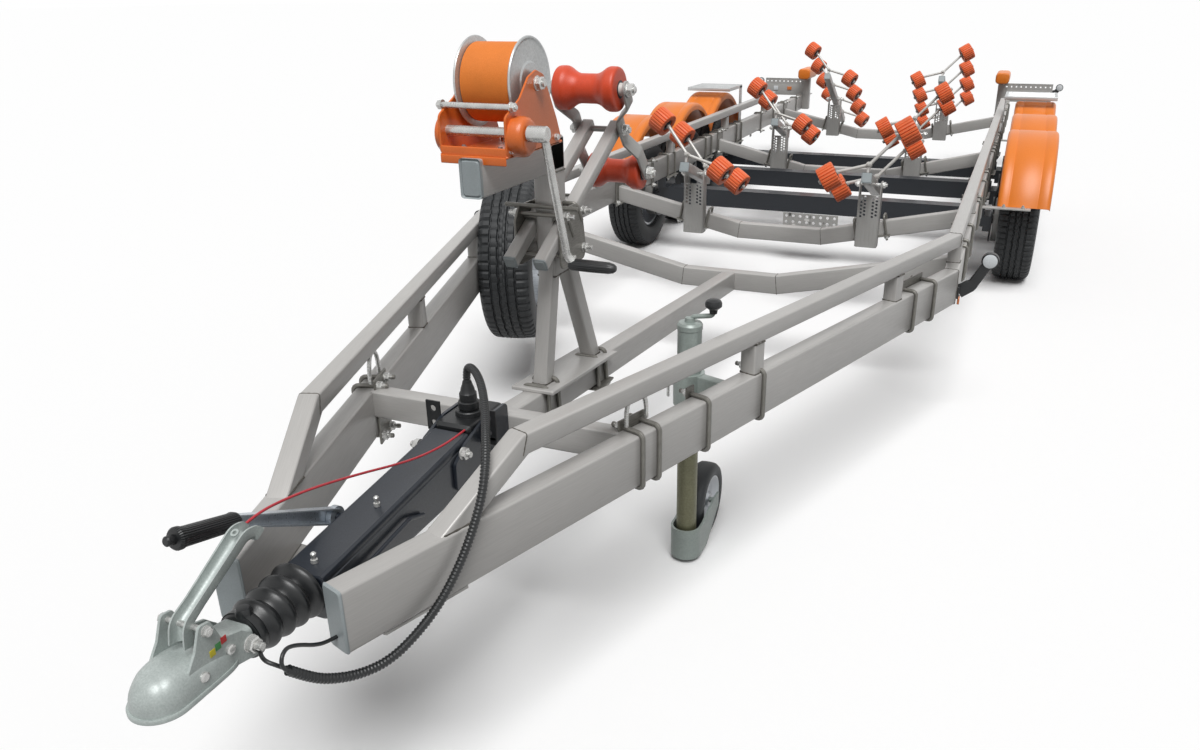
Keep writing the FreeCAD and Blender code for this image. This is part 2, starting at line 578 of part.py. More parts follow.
def coupling_head():
    """Ball coupling: shaft, collar, tapered neck and cup with its socket for the towing ball."""
    ball_back = "(cup_radius + cup_rim - nose_overhang)"
    centre = ("0", f"{FRONT} + {ball_back}", "beam_top - coupling_drop")
    shaft_start = "(housing_front_back - bellows_length - neck_length)"
    shaft = rod("CouplingShaft", "neck_radius", "neck_length", ("0", f"{FRONT} + {shaft_start}",
                "beam_top - shaft_drop"), "y")
    low, high = "-coupling_drop - cup_low + neck_inset", "-coupling_drop - cup_low + cup_height - neck_inset"
    neck_end = f"({shaft_start} + neck_length * neck_share)"
    neck = loft("CouplingNeck", "XZ_Plane", [
        (f"-{ball_back}", rounded_outline("neck_wide", low, high, "neck_round")),
        ("-lever_pivot_back", rounded_outline("(neck_wide + 2 * neck_half) / 2", low, high, "neck_round")),
        ("-neck_step_back", rounded_outline("2 * neck_half", low, "-coupling_drop + neck_step_drop",
                                            "neck_round")),
        (f"-{neck_end}", rounded_outline("2 * neck_half", "-shaft_drop - neck_half", "-shaft_drop + neck_half",
                                         "neck_round")),
    ], ("0", FRONT, "beam_top"))
    top = "(cup_height - cup_low)"
    nick = "cup_round * corner_share"
    cup = spin("CouplingCup", "XZ_Plane", [
        ("0", "-cup_low"), ("cup_radius + cup_rim", "-cup_low"), ("cup_radius + cup_rim", "-cup_low + cup_rim_height"),
        ("cup_radius", "-cup_low + cup_rim_height"), ("cup_radius", f"{top} - cup_round"),
        (f"cup_radius - {nick}", f"{top} - {nick}"), ("cup_radius - cup_round", top), ("0", top),
    ], about="V_Axis", at=centre)
    pivot = (f"{FRONT} + lever_pivot_back", "beam_top + lever_pivot_rise")
    lugs = [block("LeverLug", ("neck_half - lever_width / 2 - lever_gap", "2 * lever_boss_radius",
                               "lever_pivot_rise + lever_boss_radius + coupling_drop"),
                  (outward(sign, "lever_width / 2 + lever_gap", "neck_half - lever_width / 2 - lever_gap"),
                   f"{pivot[0]} - lever_boss_radius", "beam_top - coupling_drop")) for sign in (1, -1)]
    pin = rod("LeverPin", "lever_pin_radius", "2 * neck_half", ("-neck_half", *pivot), "x")
    outside = join("CouplingOutside", [shaft, neck, cup, pin] + lugs)
    socket = join("CouplingSocket", [
        ball("SocketBall", "ball_radius + ball_clearance", centre),
        rod("SocketMouth", "ball_radius + ball_clearance", "cup_low + overrun",
            ("0", centre[1], "beam_top - coupling_drop - cup_low - overrun")),
    ])
    keep(cut("CouplingHead", outside, socket), "coupling_head")


def bar_between(name, width, thick, start, end, side):
    """A flat bar in a plane along the trailer, from one (back, rise) point to another."""
    run, rise = f"(({end[0]}) - ({start[0]}))", f"(({end[1]}) - ({start[1]}))"
    long = f"sqrt({run}^2 + {rise}^2)"
    across, up = f"({rise} / {long} * {width} / 2)", f"({run} / {long} * {width} / 2)"
    return pad(name, "YZ_Plane", [
        (f"{start[0]} + {across}", f"{start[1]} - {up}"), (f"{end[0]} + {across}", f"{end[1]} - {up}"),
        (f"{end[0]} - {across}", f"{end[1]} + {up}"), (f"{start[0]} - {across}", f"{start[1]} + {up}"),
    ], thick, at=(side, FRONT, "beam_top"))


def round_between(name, radius, start, end, side):
    """A round bar in a plane along the trailer, from one (back, rise) point to another."""
    run, rise = f"(({end[0]}) - ({start[0]}))", f"(({end[1]}) - ({start[1]}))"
    obj = bind(DOC.addObject("Part::Cylinder", name), Radius=radius, Height=f"sqrt({run}^2 + {rise}^2)")
    return place(obj, side, f"{FRONT} + {start[0]}", f"beam_top + {start[1]}", axis=ALONG_X,
                 angle=f"-atan2({run}; {rise})")


def levers():
    """The coupling's folded release lever and the handbrake lever with its round grip."""
    def pivoted(name, pieces, boss_radius, pin_radius, length, start, root):
        """Pieces joined with a boss at the root, bored for its pin."""
        at = (start, f"{FRONT} + {root[0]}", f"beam_top + {root[1]}")
        boss = rod(name + "Boss", boss_radius, length, at, "x")
        bore = rod(name + "Bore", f"{pin_radius} + pin_clearance", f"{length} + 2 * overrun",
                   (f"{start} - overrun",) + at[1:], "x")
        return cut(name, join(name + "Solid", pieces + [boss]), bore)
    pivot, tip = ("lever_pivot_back", "lever_pivot_rise"), ("lever_tip_back", "lever_tip_rise")
    hollow_pivot, hollow_tip = ((back, f"{rise} - lever_wall") for back, rise in (pivot, tip))
    arm = cut("LeverChannel", bar_between("LeverArm", "lever_depth", "lever_width", pivot, tip, "-lever_width / 2"),
              bar_between("LeverHollow", "lever_depth", "lever_width - 2 * lever_wall", hollow_pivot, hollow_tip,
                          "lever_wall - lever_width / 2"))
    hook = bar_between("LeverHook", "lever_wall", "lever_width", ("lever_tip_back - lever_depth / 4", "lever_tip_rise"),
                       ("lever_tip_back + lever_hook_back", "lever_tip_rise - lever_hook_drop"), "-lever_width / 2")
    keep(pivoted("CouplingLever", [arm, hook], "lever_boss_radius", "lever_pin_radius", "lever_width",
                 "-lever_width / 2", pivot), "coupling_lever")
    root, grip = ("brake_root_back", "brake_root_rise"), ("brake_grip_back", "brake_grip_rise")
    end = ("brake_tip_back", "brake_tip_rise")
    bar = bar_between("BrakeBar", "brake_bar", "brake_thick", root, grip, "-brake_side")
    middle = "brake_thick / 2 - brake_side"
    hand = [round_between("BrakeGrip", "grip_radius", grip, end, middle),
            ball("BrakeGripEnd", "grip_radius", (middle, f"{FRONT} + {end[0]}", f"beam_top + {end[1]}"))]
    keep(pivoted("HandbrakeLever", [bar] + hand, "brake_bar", "brake_pin_radius", "brake_thick", "-brake_side", root),
         "handbrake_lever")


# Winch stand and winch

def winch_stand():
    """Sloping base plate on the keel beam, two legs, the column and the arm that carries the winch."""
    fall = "((cross_drop - keel_front_drop) / (cross_a_back - cross_tube_back - cross_tube_width))"

    def keel_top(back):
        return f"(-keel_front_drop - {fall} * ({back} - cross_tube_back - cross_tube_width))"
    front, rear = "stand_front_back", "stand_rear_back"
    base = pad("StandBase", "YZ_Plane", [
        (front, keel_top(front)), (rear, keel_top(rear)), (rear, f"{keel_top(rear)} + stand_plate_thick"),
        (front, f"{keel_top(front)} + stand_plate_thick"),
    ], "stand_plate_width", at=("-stand_plate_width / 2", FRONT, "beam_top"))
    legs = []
    for name, foot, top in (("FrontLeg", "front_leg_back", "column_back"),
                            ("RearLeg", "rear_leg_back", "rear_leg_top_back")):
        low = f"{keel_top(foot)} + stand_plate_thick / 2"
        legs.append(pad(name, "YZ_Plane", [
            (foot, low), (f"{foot} + leg_depth", low), (f"{top} + leg_depth", "column_foot_rise + leg_lap"),
            (top, "column_foot_rise + leg_lap"),
        ], "leg_width", at=("-leg_width / 2", FRONT, "beam_top")))
    column = block("Column", ("column_width", "column_depth", "arm_rise + arm_depth - column_foot_rise"),
                   ("-column_width / 2", f"{FRONT} + column_back", "beam_top + column_foot_rise"))
    arm = block("WinchArm", ("column_width", "column_back + column_depth - arm_front_back", "arm_depth"),
                ("-column_width / 2", f"{FRONT} + arm_front_back", "beam_top + arm_rise"))
    solid = join("WinchStandSolid", [base] + legs + [column, arm] + stand_props())
    bore = rod("KneeBore", "roller_pin_radius + pin_clearance", "2 * yoke_half", (
        "-yoke_half", f"{FRONT} + knee_back", "beam_top + knee_rise"), "x")
    keep(cut("WinchStand", solid, bore), "winch_stand")


def stand_props():
    """Twin square tubes clamped to the column, rising past the knee pin of the bow roller's yoke."""
    start = ("prop_front_back", "prop_front_rise")
    run, rise = "(knee_back - prop_front_back)", "(knee_rise - prop_front_rise)"
    beyond = f"prop_overhang / sqrt({run}^2 + {rise}^2)"
    end = (f"(knee_back + {run} * {beyond})", f"(knee_rise + {rise} * {beyond})")
    return [bar_between("Prop", "prop_size", "prop_size", start, end, outward(sign, "column_width / 2", "prop_size"))
            for sign in (1, -1)]


def winch_frame():
    """Folded cradle of the winch: floor, two side plates, gear case, tie bar and crank shaft bearing."""
    floor_rise = "(arm_rise + arm_depth)"
    deep = "(frame_rear_back - frame_front_back)"
    floor = block("WinchFloor", ("2 * frame_half", deep, "frame_wall"),
                  ("-frame_half", f"{FRONT} + frame_front_back", f"beam_top + {floor_rise}"))
    cheeks = []
    for sign in (1, -1):
        cheeks.append(pad("WinchCheek", "YZ_Plane", [
            ("frame_front_back", floor_rise), ("frame_rear_back", floor_rise),
            ("winch_back + drum_pin_radius * frame_boss_share", "frame_top_rise"),
            ("winch_back - drum_pin_radius * frame_boss_share", "frame_top_rise"),
            ("frame_front_back", "frame_low_rise"),
        ], "frame_wall", at=(outward(sign, "frame_half - frame_wall", "frame_wall"), FRONT, "beam_top")))
    lip = block("WinchLip", ("2 * frame_half", "frame_wall", "frame_lip"),
                ("-frame_half", f"{FRONT} + frame_front_back", f"beam_top + {floor_rise}"))
    covers = [spin("GearCase", "XY_Plane", [
        ("0", "0"), ("0", "gear_case_radius"), (f"{width} - {width} * corner_share", "gear_case_radius"),
        (width, f"gear_case_radius - {width} * corner_share"), (width, "0"),
    ], at=(start, f"{FRONT} + shaft_back + gear_case_shift", f"beam_top + {floor_rise} + gear_case_radius"))
        for start, width in (("frame_half", "gear_case_width"), ("-frame_half", "-gear_cover_width"))]
    tie = rod("WinchTie", "tie_radius", "2 * frame_half", ("-frame_half", f"{FRONT} + tie_back",
              "beam_top + tie_rise"), "x")
    drum_pin = rod("DrumPin", "drum_pin_radius", "2 * frame_half", ("-frame_half", f"{FRONT} + winch_back",
                   "beam_top + winch_rise"), "x")
    solid = join("WinchFrameSolid", [floor, lip, tie, drum_pin] + covers + cheeks)
    bore = rod("ShaftBore", "shaft_radius + pin_clearance", "2 * frame_half + crank_gap + gear_case_width + overrun",
               ("-frame_half - crank_gap", f"{FRONT} + shaft_back", "beam_top + shaft_rise"), "x")
    keep(cut("WinchFrame", solid, bore), "winch_frame")


def winch_drum():
    """Spool with two flanges on the drum pin, and the wound strap."""
    bore = "drum_pin_radius + pin_clearance"
    outline = mirrored_outline([
        ("drum_half", bore), ("drum_half", "flange_radius"), ("drum_half - flange_thick", "flange_radius"),
        ("drum_half - flange_thick", "spool_radius"),
    ])
    at = ("0", f"{FRONT} + winch_back", "beam_top + winch_rise")
    keep(spin("WinchDrum", "XZ_Plane", outline, at=at), "winch_drum")
    half = "(drum_half - flange_thick - strap_gap)"
    keep(spin("WinchStrap", "XZ_Plane", [
        (half, "spool_radius"), (half, "strap_radius"), (f"-{half}", "strap_radius"), (f"-{half}", "spool_radius"),
    ], at=at), "winch_strap")


def winch_crank():
    """Crank shaft through the winch frame, hub, arm and hand grip."""
    y, z = f"{FRONT} + shaft_back", "beam_top + shaft_rise"
    hub_start = "(frame_half + gear_case_width + crank_gap)"
    shaft = rod("CrankShaft", "shaft_radius", f"frame_half + {hub_start}", ("-frame_half", y, z), "x")
    hub = rod("CrankHub", "crank_hub_radius", "crank_hub_length", (hub_start, y, z), "x")
    arm_x = f"({hub_start} + crank_hub_length - crank_radius)"
    elbow = ("shaft_back + crank_reach", "shaft_rise - crank_drop")
    arm = round_between("CrankArm", "crank_radius", ("shaft_back", "shaft_rise"), elbow, arm_x)
    bend = (f"{FRONT} + {elbow[0]}", f"beam_top + {elbow[1]}")
    grip_start = f"({arm_x} + crank_grip_radius)"
    pieces = [
        shaft, hub, arm, ball("CrankBend", "crank_radius", (arm_x, *bend)),
        rod("CrankEnd", "crank_radius", "crank_grip_length", (arm_x, *bend), "x"),
        rod("CrankGrip", "crank_grip_radius", "crank_grip_length - 2 * crank_grip_radius", (grip_start, *bend), "x"),
        ball("CrankGripEnd", "crank_grip_radius", (f"{arm_x} + crank_grip_length - crank_grip_radius", *bend)),
    ]
    keep(join("WinchCrank", pieces), "winch_crank")


def hourglass(half, end, waist, bore):
    """Half section of a waisted roller on its pin."""
    return mirrored_outline([
        (half, bore), (half, f"{end} * roller_shoulder_share"), (f"{half} * roller_edge_share", end),
        (f"{half} * roller_flare_share", end), (f"{half} * roller_waist_share", waist),
    ])


def bow_rollers():
    """Yoke of two flat bars with its pins, the bow roller above and the lower roller behind."""
    bars = []
    for sign in (1, -1):
        side = outward(sign, "yoke_half", "yoke_thick")
        bars.append(bar_between("YokeUpper", "yoke_bar", "yoke_thick", ("bow_back", "bow_rise"),
                                ("knee_back", "knee_rise"), side))
        bars.append(bar_between("YokeLower", "yoke_bar", "yoke_thick", ("knee_back", "knee_rise"),
                                ("lower_back", "lower_rise"), side))
        bars.append(rod("YokeKnee", "yoke_bar / 2", "yoke_thick", (side, f"{FRONT} + knee_back",
                        "beam_top + knee_rise"), "x"))
        for back, rise in (("bow_back", "bow_rise"), ("lower_back", "lower_rise")):
            bars.append(rod("YokeEye", "yoke_bar / 2", "yoke_thick", (side, f"{FRONT} + {back}",
                            f"beam_top + {rise}"), "x"))
    for back, rise in (("bow_back", "bow_rise"), ("knee_back", "knee_rise"), ("lower_back", "lower_rise")):
        bars.append(rod("YokePin", "roller_pin_radius", "2 * yoke_half", ("-yoke_half", f"{FRONT} + {back}",
                        f"beam_top + {rise}"), "x"))
    keep(join("BowYoke", bars), "bow_yoke")
    bore = "roller_pin_radius + pin_clearance"
    for label, name, outline, back, rise in (
        ("bow_roller", "BowRoller", hourglass("bow_half", "bow_end_radius", "bow_waist_radius", bore),
         "bow_back", "bow_rise"),
        ("lower_roller", "LowerRoller", hourglass("lower_half", "lower_end_radius", "lower_waist_radius", bore),
         "lower_back", "lower_rise"),
    ):
        keep(spin(name, "XZ_Plane", outline, at=("0", f"{FRONT} + {back}", f"beam_top + {rise}")), label)


# Spare wheel and jockey wheel

SPARE_OFFSET = "(tyre_width / 2 + spare_gap)"


def on_spare_axis(name, outline):
    """A round piece about the spare wheel's axis, which is square to the sloping left beam."""
    at = (f"{SPARE_OFFSET} * cos({SLOPE}) - {slope_x('spare_back')}",
          f"{FRONT} + spare_back + {SPARE_OFFSET} * sin({SLOPE})", "beam_top - spare_drop")
    return spin(name, "XZ_Plane", outline, at=at, axis=ALONG_Z, turn=SLOPE)


def spare_boss():
    """Boss on the left beam's inner face that the spare wheel's disc is bolted to."""
    return on_spare_axis("SpareBoss", [(f"-{SPARE_OFFSET}", "0"), (f"-{SPARE_OFFSET}", "spare_boss_radius"),
                                       ("disc_offset", "spare_boss_radius"), ("disc_offset", "0")])


def spare_wheel():
    """Spare wheel inside the left beam, parallel with its sloping part."""
    keep(on_spare_axis("SpareTyre", tyre_outline()), "spare_tyre")
    keep(on_spare_axis("SpareRim", rim_outline(False)), "spare_rim")


def jockey_fork(x, y):
    """Pressed bowl round the leg's foot whose sides run back to the axle, and the king pin it swivels on."""
    side = "(jockey_wheel_width / 2 + fork_gap)"
    deep = "(jockey_trail + fork_eye)"

    def bowl(name, radius, low, height):
        return join(name, [rod(name + "Front", radius, height, (x, y, low)), block(
            name + "Rear", (f"2 * {radius}", deep, height), (f"{x} - {radius}", y, low))])
    shell = cut("ForkShell", bowl("ForkOutside", f"({side} + fork_wall)", "fork_rise", "2 * jockey_wheel_radius"),
                bowl("ForkInside", side, "fork_rise + fork_base", "2 * jockey_wheel_radius"))
    profile = pad("ForkProfile", "YZ_Plane", [
        (f"-{side} - 2 * fork_wall", "fork_rise"), ("fork_base_reach", "fork_rise"),
        (deep, "jockey_wheel_radius - fork_eye"), (deep, "jockey_wheel_radius + fork_eye"),
        ("jockey_trail - fork_eye", "jockey_wheel_radius + fork_eye"), ("inner_radius", "fork_rise + fork_height"),
        (f"-{side} - 2 * fork_wall", "fork_rise + fork_height"),
    ], f"2 * {side} + 4 * fork_wall", at=(f"{x} - {side} - 2 * fork_wall", y, "0"))
    return join("JockeyFork", [
        common("ForkBowl", shell, profile),
        rod("KingPin", "king_pin_radius", "fork_base + king_pin_length", (x, y, "fork_rise")),
        rod("ForkPin", "jockey_pin_radius", f"2 * {side}", (f"{x} - {side}", f"{y} + jockey_trail",
            "jockey_wheel_radius"), "x"),
    ])


def jockey():
    """Clamp and outer tube, sliding inner tube, swivelling fork and trailing wheel."""
    x, y = "jockey_x", f"{FRONT} + jockey_back"
    low = "(beam_top - jockey_tube_drop)"
    high = "(beam_top + jockey_top_rise)"
    outer = rod("JockeyOuter", "jockey_radius", f"{high} - {low}", (x, y, low))
    clamp = rod("JockeyClamp", "clamp_radius", "clamp_length", (x, y, "beam_top - beam_height / 2 - clamp_length / 2"))
    reach = f"(({slope_x('jockey_back')} - jockey_x) * cos({SLOPE}) - clamp_plate_thick)"
    web = block("JockeyWeb", (reach, "clamp_web", "clamp_length"),
                (x, y, "beam_top - beam_height / 2 - clamp_length / 2"), ALONG_Z, f"-({SLOPE})")
    plate_back = "(jockey_back - clamp_plate_length / 2)"
    plate = block("JockeyPlate", ("clamp_plate_thick", "clamp_plate_length", "clamp_length"),
                  (f"{slope_x(plate_back)} - clamp_plate_thick * cos({SLOPE})",
                   f"{FRONT} + {plate_back} + clamp_plate_thick * sin({SLOPE})",
                   "beam_top - beam_height / 2 - clamp_length / 2"), ALONG_Z, f"-({SLOPE})")
    arm = block("JockeyArm", ("jockey_arm", "2 * jockey_knob_radius", "cap_height / 2"),
                (x, f"{y} - jockey_knob_radius", high))
    knob = rod("JockeyKnob", "jockey_knob_radius", "jockey_knob_height", (f"{x} + jockey_arm", y, high))
    solid = join("JockeyTubeSolid", [outer, clamp, web, plate, arm, knob])
    bore = rod("JockeyBore", "inner_radius + inner_clearance", f"{high} - {low} - cap_height + overrun",
               (x, y, f"{low} - overrun"))
    keep(cut("JockeyTube", solid, bore), "jockey_tube")

    foot = "(fork_rise + fork_base + swivel_gap)"
    bore_height = "king_pin_length + overrun + fork_gap"
    keep(cut("JockeyLeg", rod("JockeyLegTube", "inner_radius", "jockey_leg_length", (x, y, foot)),
             rod("KingBore", "king_pin_radius + pin_clearance", bore_height, (x, y, f"{foot} - overrun"))),
         "jockey_leg")
    keep(jockey_fork(x, y), "jockey_fork")
    half = "jockey_wheel_width / 2"
    keep(spin("JockeyWheel", "XZ_Plane", mirrored_outline([
        (half, "jockey_pin_radius + pin_clearance"), (half, "jockey_wheel_radius * jockey_shoulder_share"),
        (f"{half} * jockey_crown_share", "jockey_wheel_radius"),
    ]), at=(x, f"{y} + jockey_trail", "jockey_wheel_radius")), "jockey_wheel")


# Roller posts and cradles

CRADLE_MARKS = {"front": ("b", "cradle_length", "cradle_tilt", "ab"),
                "middle": ("c", "cradle_length", "cradle_tilt", "ab"),
                "rear": ("d", "rear_cradle_length", "rear_cradle_tilt", "abcd")}
PIVOT_RISE = "(beam_top + pivot_rise)"


def pivot_y(mark):
    """Where a cradle's pivot stands along the trailer, in the middle of its channel."""
    return f"({FRONT} + {CROSS_BACKS[mark]} - channel_depth / 2)"


def roller_post(mark):
    """Channel on the front face of a crossmember, with the pivot pin between its flanges."""
    y, low = f"({FRONT} + {CROSS_BACKS[mark]} - channel_depth)", "(beam_top + channel_top_rise - channel_length)"
    x = "(post_side - channel_width / 2)"
    web = block("ChannelWeb", ("channel_width", "channel_wall", "channel_length - web_notch"), (x, y, low))
    flanges = [block("ChannelFlange", ("channel_wall", "channel_depth", "channel_length"), (start, y, low))
               for start in (x, f"{x} + channel_width - channel_wall")]
    pin = rod("PivotPin", "pivot_radius", "channel_width", (x, pivot_y(mark), PIVOT_RISE), "x")
    return join("RollerPost", [web, pin] + flanges)


def roller_posts():
    right = [roller_post(mark) for mark in "bcd"]
    keep(group("RollerPosts", right + [mirror("RollerPostLeft", post) for post in right]), "roller_posts")


def cradle(place_name):
    """Rocking tube with its ears, bent rods and hull rollers, in the pivot's own frame."""
    mark, length, tilt, rows = CRADLE_MARKS[place_name]
    name = place_name.title()
    tube = block(name + "Tube", ("cradle_tube", length, "cradle_tube"),
                 ("-cradle_tube / 2", f"-{length} / 2", "-cradle_tube / 2"))
    ear_top = "(cradle_tube / 2 + ear_height)"
    slope_u, slope_w = "cos(roller_slope)", "sin(roller_slope)"
    half = "(roller_width / 2)"
    bars, rollers = [tube], []
    for index in range(len(rows)):
        back = f"(({index} / {len(rows) - 1} - 1 / 2) * ({length} - 2 * rod_inset))"
        inner = ("-inboard_reach", f"{ear_top} - inboard_drop")
        outer = ("outboard_reach", f"{ear_top} + outboard_lift")
        centre = ("0", ear_top)

        def along(point, reach):
            return (f"{point[0]} + ({reach}) * {slope_u}", f"{point[1]} + ({reach}) * {slope_w}")
        bend_in, bend_out = along(inner, f"{half} + hub_gap"), along(outer, f"-{half} - hub_gap")
        runs = [(along(inner, f"-{half} - hub_gap"), bend_in), (bend_in, centre), (centre, bend_out),
                (bend_out, along(outer, f"{half} + hub_gap"))]
        bars.append(block(name + "Ear", ("2 * rod_radius", "2 * rod_radius", "ear_height + cradle_tube / 2"),
                          ("-rod_radius", f"{back} - rod_radius", "0")))
        bars += [leaning_rod(name + "Rod", "rod_radius", start, end, back) for start, end in runs]
        bars += [ball(name + "Bend", "rod_radius", (spot[0], back, spot[1])) for spot in (bend_in, centre, bend_out)]
        for spot in (inner, outer):
            ends = along(spot, f"-{half}"), along(spot, half)
            rollers.append(cut(name + "Roller", leaning_rod(name + "Rubber", "roller_radius", *ends, back),
                               leaning_rod(name + "Bore", "rod_radius + roller_clearance", *ends, back)))
    bore = rod(name + "Bore", "pivot_radius + pin_clearance", "cradle_tube + 2 * overrun",
               ("-cradle_tube / 2 - overrun", "0", "0"), "x")
    at = ("post_side", pivot_y(mark), PIVOT_RISE)
    for kind, shape in (("cradle", cut(name + "Cradle", join(name + "Bars", bars), bore)),
                        ("hull_rollers", group(name + "Rollers", rollers))):
        place(shape, *at, axis=ALONG_X, angle=f"-{tilt}")
        keep(shape, f"{kind}_{place_name}_right")
        keep(mirror(name + kind + "Left", shape), f"{kind}_{place_name}_left")


# Rear end and side markers

BOARD_OUTER = f"({GUARD_OUTER} + board_overhang)"


def light_boards():
    """Uprights inside the beams' rear ends, with a light board outside each and a pad on top."""
    rear = f"({FRONT} + beam_rear_back)"
    pad_front, inner = f"({rear} + rear_overhang - pad_length)", "(beam_rear_gap - board_lap)"
    front = f"({pad_front} + pad_length / 2 - upright_size / 2)"
    upright = block("Upright", ("upright_size", "upright_size", "upright_rise + beam_height"),
                    ("beam_rear_gap - upright_size", front, "beam_top - beam_height"))
    board = block("LightBoard", (f"{BOARD_OUTER} - {inner}", "board_depth", "board_height"),
                  (inner, rear, "beam_top + board_low"))
    bracket = block("BoardBracket", ("upright_size + beam_width", f"{rear} + board_depth - {front}", "board_thick"),
                    ("beam_rear_gap - upright_size", front, "beam_top"))
    right = join("LightBoardRight", [upright, board, bracket])
    keep(group("LightBoards", [right, mirror("LightBoardLeft", right)]), "light_boards")
    pad_right = pad("GuidePad", "XZ_Plane", rounded_outline("pad_width", "0", "pad_height", "pad_round"), "pad_length",
                    at=("beam_rear_gap - upright_size / 2", f"{rear} + rear_overhang", "beam_top + upright_rise"))
    keep(group("GuidePads", [pad_right, mirror("GuidePadLeft", pad_right)]), "guide_pads")


def marker_arms():
    """Flexible side marker arms with round lamps, on the beams' bends and on the light boards."""
    arms = []
    for name, x, y, z in (
        ("Front", "beam_rear_gap + beam_width", f"{FRONT} + marker_base_back", "beam_top - marker_base_drop"),
        ("Rear", BOARD_OUTER, f"{FRONT} + beam_rear_back + board_depth / 2", "beam_top + board_height / 2"),
    ):
        reach, lift = ("marker_reach", "marker_lift") if name == "Front" else ("rear_marker_reach", "rear_marker_lift")
        arm = leaning_rod(name + "Arm", "marker_radius", (f"{x} + marker_radius", z),
                          (f"{x} + {reach}", f"{z} + {lift}"), y)
        lens = rod(name + "Lamp", "lens_radius", "lens_thick", (
            f"{x} + {reach}", f"{y} - lens_thick / 2", f"{z} + {lift}"), "y")
        foot = block(name + "Foot", ("marker_radius", "2 * marker_radius", "marker_foot"),
                     (x, f"{y} - marker_radius", f"{z} - marker_foot / 2"))
        arms.append(join(name + "Marker", [arm, lens, foot]))
    keep(group("MarkerArms", arms + [mirror("MarkerLeft", arm) for arm in arms]), "marker_arms")


# Plug, conduit and breakaway cable: points are (x, back, rise)

CORD_ROUTES = {
    "plug_conduit": ("conduit_radius", [
        (5, 620, 104), (5, 620, 134), (22, 608, 155), (60, 575, 157), (106, 520, 150), (154, 448, 138),
        (198, 372, 126), (234, 308, 102), (246, 268, 55), (240, 236, -2), (229, 203, -56), (215, 158, -107),
        (197, 105, -144), (176, 46, -168), (155, -11, -162), (137, -63, -137), (125, -96, -110), (114, -124, -78),
    ]),
    "thin_cable_coupling": ("thin_cable_radius", [
        (110.2, -122.7, -77.8), (105.3, -135.3, -63.4), (88, -142, -55), (68, -130, -57), (50, -114, -62),
        (30, -114, -62),
    ]),
    "thin_cable_beam": ("thin_cable_radius", [
        (117.7, -125.5, -78), (113.9, -135.1, -67.1), (112, -132, -50), (109, -117, -43), (106, -98, -52),
        (104, -76, -67), (104, -54, -84), (106.7, -28.8, -97), (113.6, -8.1, -97),
    ]),
    "breakaway_cable": ("cable_radius", [
        (34, 550, 27), (32, 500, 25), (27, 440, 28), (20, 378, 36), (12, 316, 50), (4, 254, 66), (-5, 192, 80),
        (-13, 130, 93), (-19, 68, 103), (-23, 6, 109), (-25, -54, 99), (-24, -112, 56), (-22, -148, 12),
        (-22, -184, 12),
    ]),
}


def world(point):
    """A route's point in the trailer's frame."""
    return Vector(point[0], point[1] + number(FRONT), point[2] + SIZES["beam_top"])


def cord_tube(name, route, radius):
    """A round cord: straight runs joined by tangent arcs as wide as the runs allow."""
    points = [world(point) for point in route]
    edges, start = [], points[0]
    for before, corner, after in zip(points, points[1:], points[2:]):
        come, leave = (corner - before), (after - corner)
        turn = come.getAngle(leave)
        reach = CORD_REACH_SHARE * min(come.Length, leave.Length)
        bend = reach / math.tan(turn / 2)
        print(f"{name} bend radius {bend:.0f} mm, {bend / (2 * radius):.1f} diameters")
        first, last = corner - come.normalize() * reach, corner + leave.normalize() * reach
        middle_way = (first + last) * 0.5 - corner
        depth = math.sqrt(bend ** 2 + reach ** 2) - bend
        middle = corner + middle_way.normalize() * depth
        edges.append(Part.LineSegment(start, first).toShape())
        edges.append(Part.Arc(first, middle, last).toShape())
        start = last
    edges.append(Part.LineSegment(start, points[-1]).toShape())
    path = Part.Wire(edges)
    way = (points[1] - points[0]).normalize()
    ring = Part.Wire(Part.makeCircle(radius, points[0], way))
    obj = DOC.addObject("Part::Feature", name)
    obj.Shape = path.makePipeShell([ring], True, False)
    print(f"{name} volume share {obj.Shape.Volume / (math.pi * radius ** 2 * path.Length):.4f}")
    return obj


def cords():
    """The plug parked in its holder, its conduit, the two thin cables at the conduit's end and the breakaway cable."""
    keep(rod("Plug", "plug_radius", "plug_length", ("plug_x", f"{FRONT} + plug_back", "beam_top + holder_rise")),
         "parked_plug")
    for label, (radius, route) in CORD_ROUTES.items():
        keep(cord_tube(label.title().replace("_", ""), route, SIZES[radius]), label)


# Build, check and write

def build():
    """Make every sub-part."""
    fill_sheet()
    for make in (main_beams, top_rail, drawbar, crossmembers, axles, wheels, mudguards, mudguard_stays, overrun_unit,
                 bellows, coupling_head, levers, winch_stand, winch_frame, winch_drum, winch_crank,
                 bow_rollers, spare_wheel, jockey, roller_posts):
        make()
    for place_name in CRADLE_MARKS:
        cradle(place_name)
    for make in (light_boards, marker_arms, cords):
        make()
    DOC.recompute()


def check():
    """Stop if an object failed or a sub-part's shape is empty or not valid."""
    failed = [obj.Name for obj in DOC.Objects if {"Invalid", "Error"} & set(obj.State)]
    if failed:
        raise RuntimeError(f"objects that did not compute: {failed}")
    for obj in NODES:
        if obj.Shape.isNull() or not obj.Shape.isValid():
            raise RuntimeError(f"{obj.Label} has no valid shape")


def write():
    """Write each sub-part to a file of its own."""
    os.makedirs("parts", exist_ok=True)
    for obj in NODES:
        obj.Shape.exportStep(f"parts/{obj.Label}.step")
        print(f"{obj.Label}: {len(obj.Shape.Solids)} solids, {obj.Shape.Volume / 1e6:.3f} litres")


build()
check()
write()
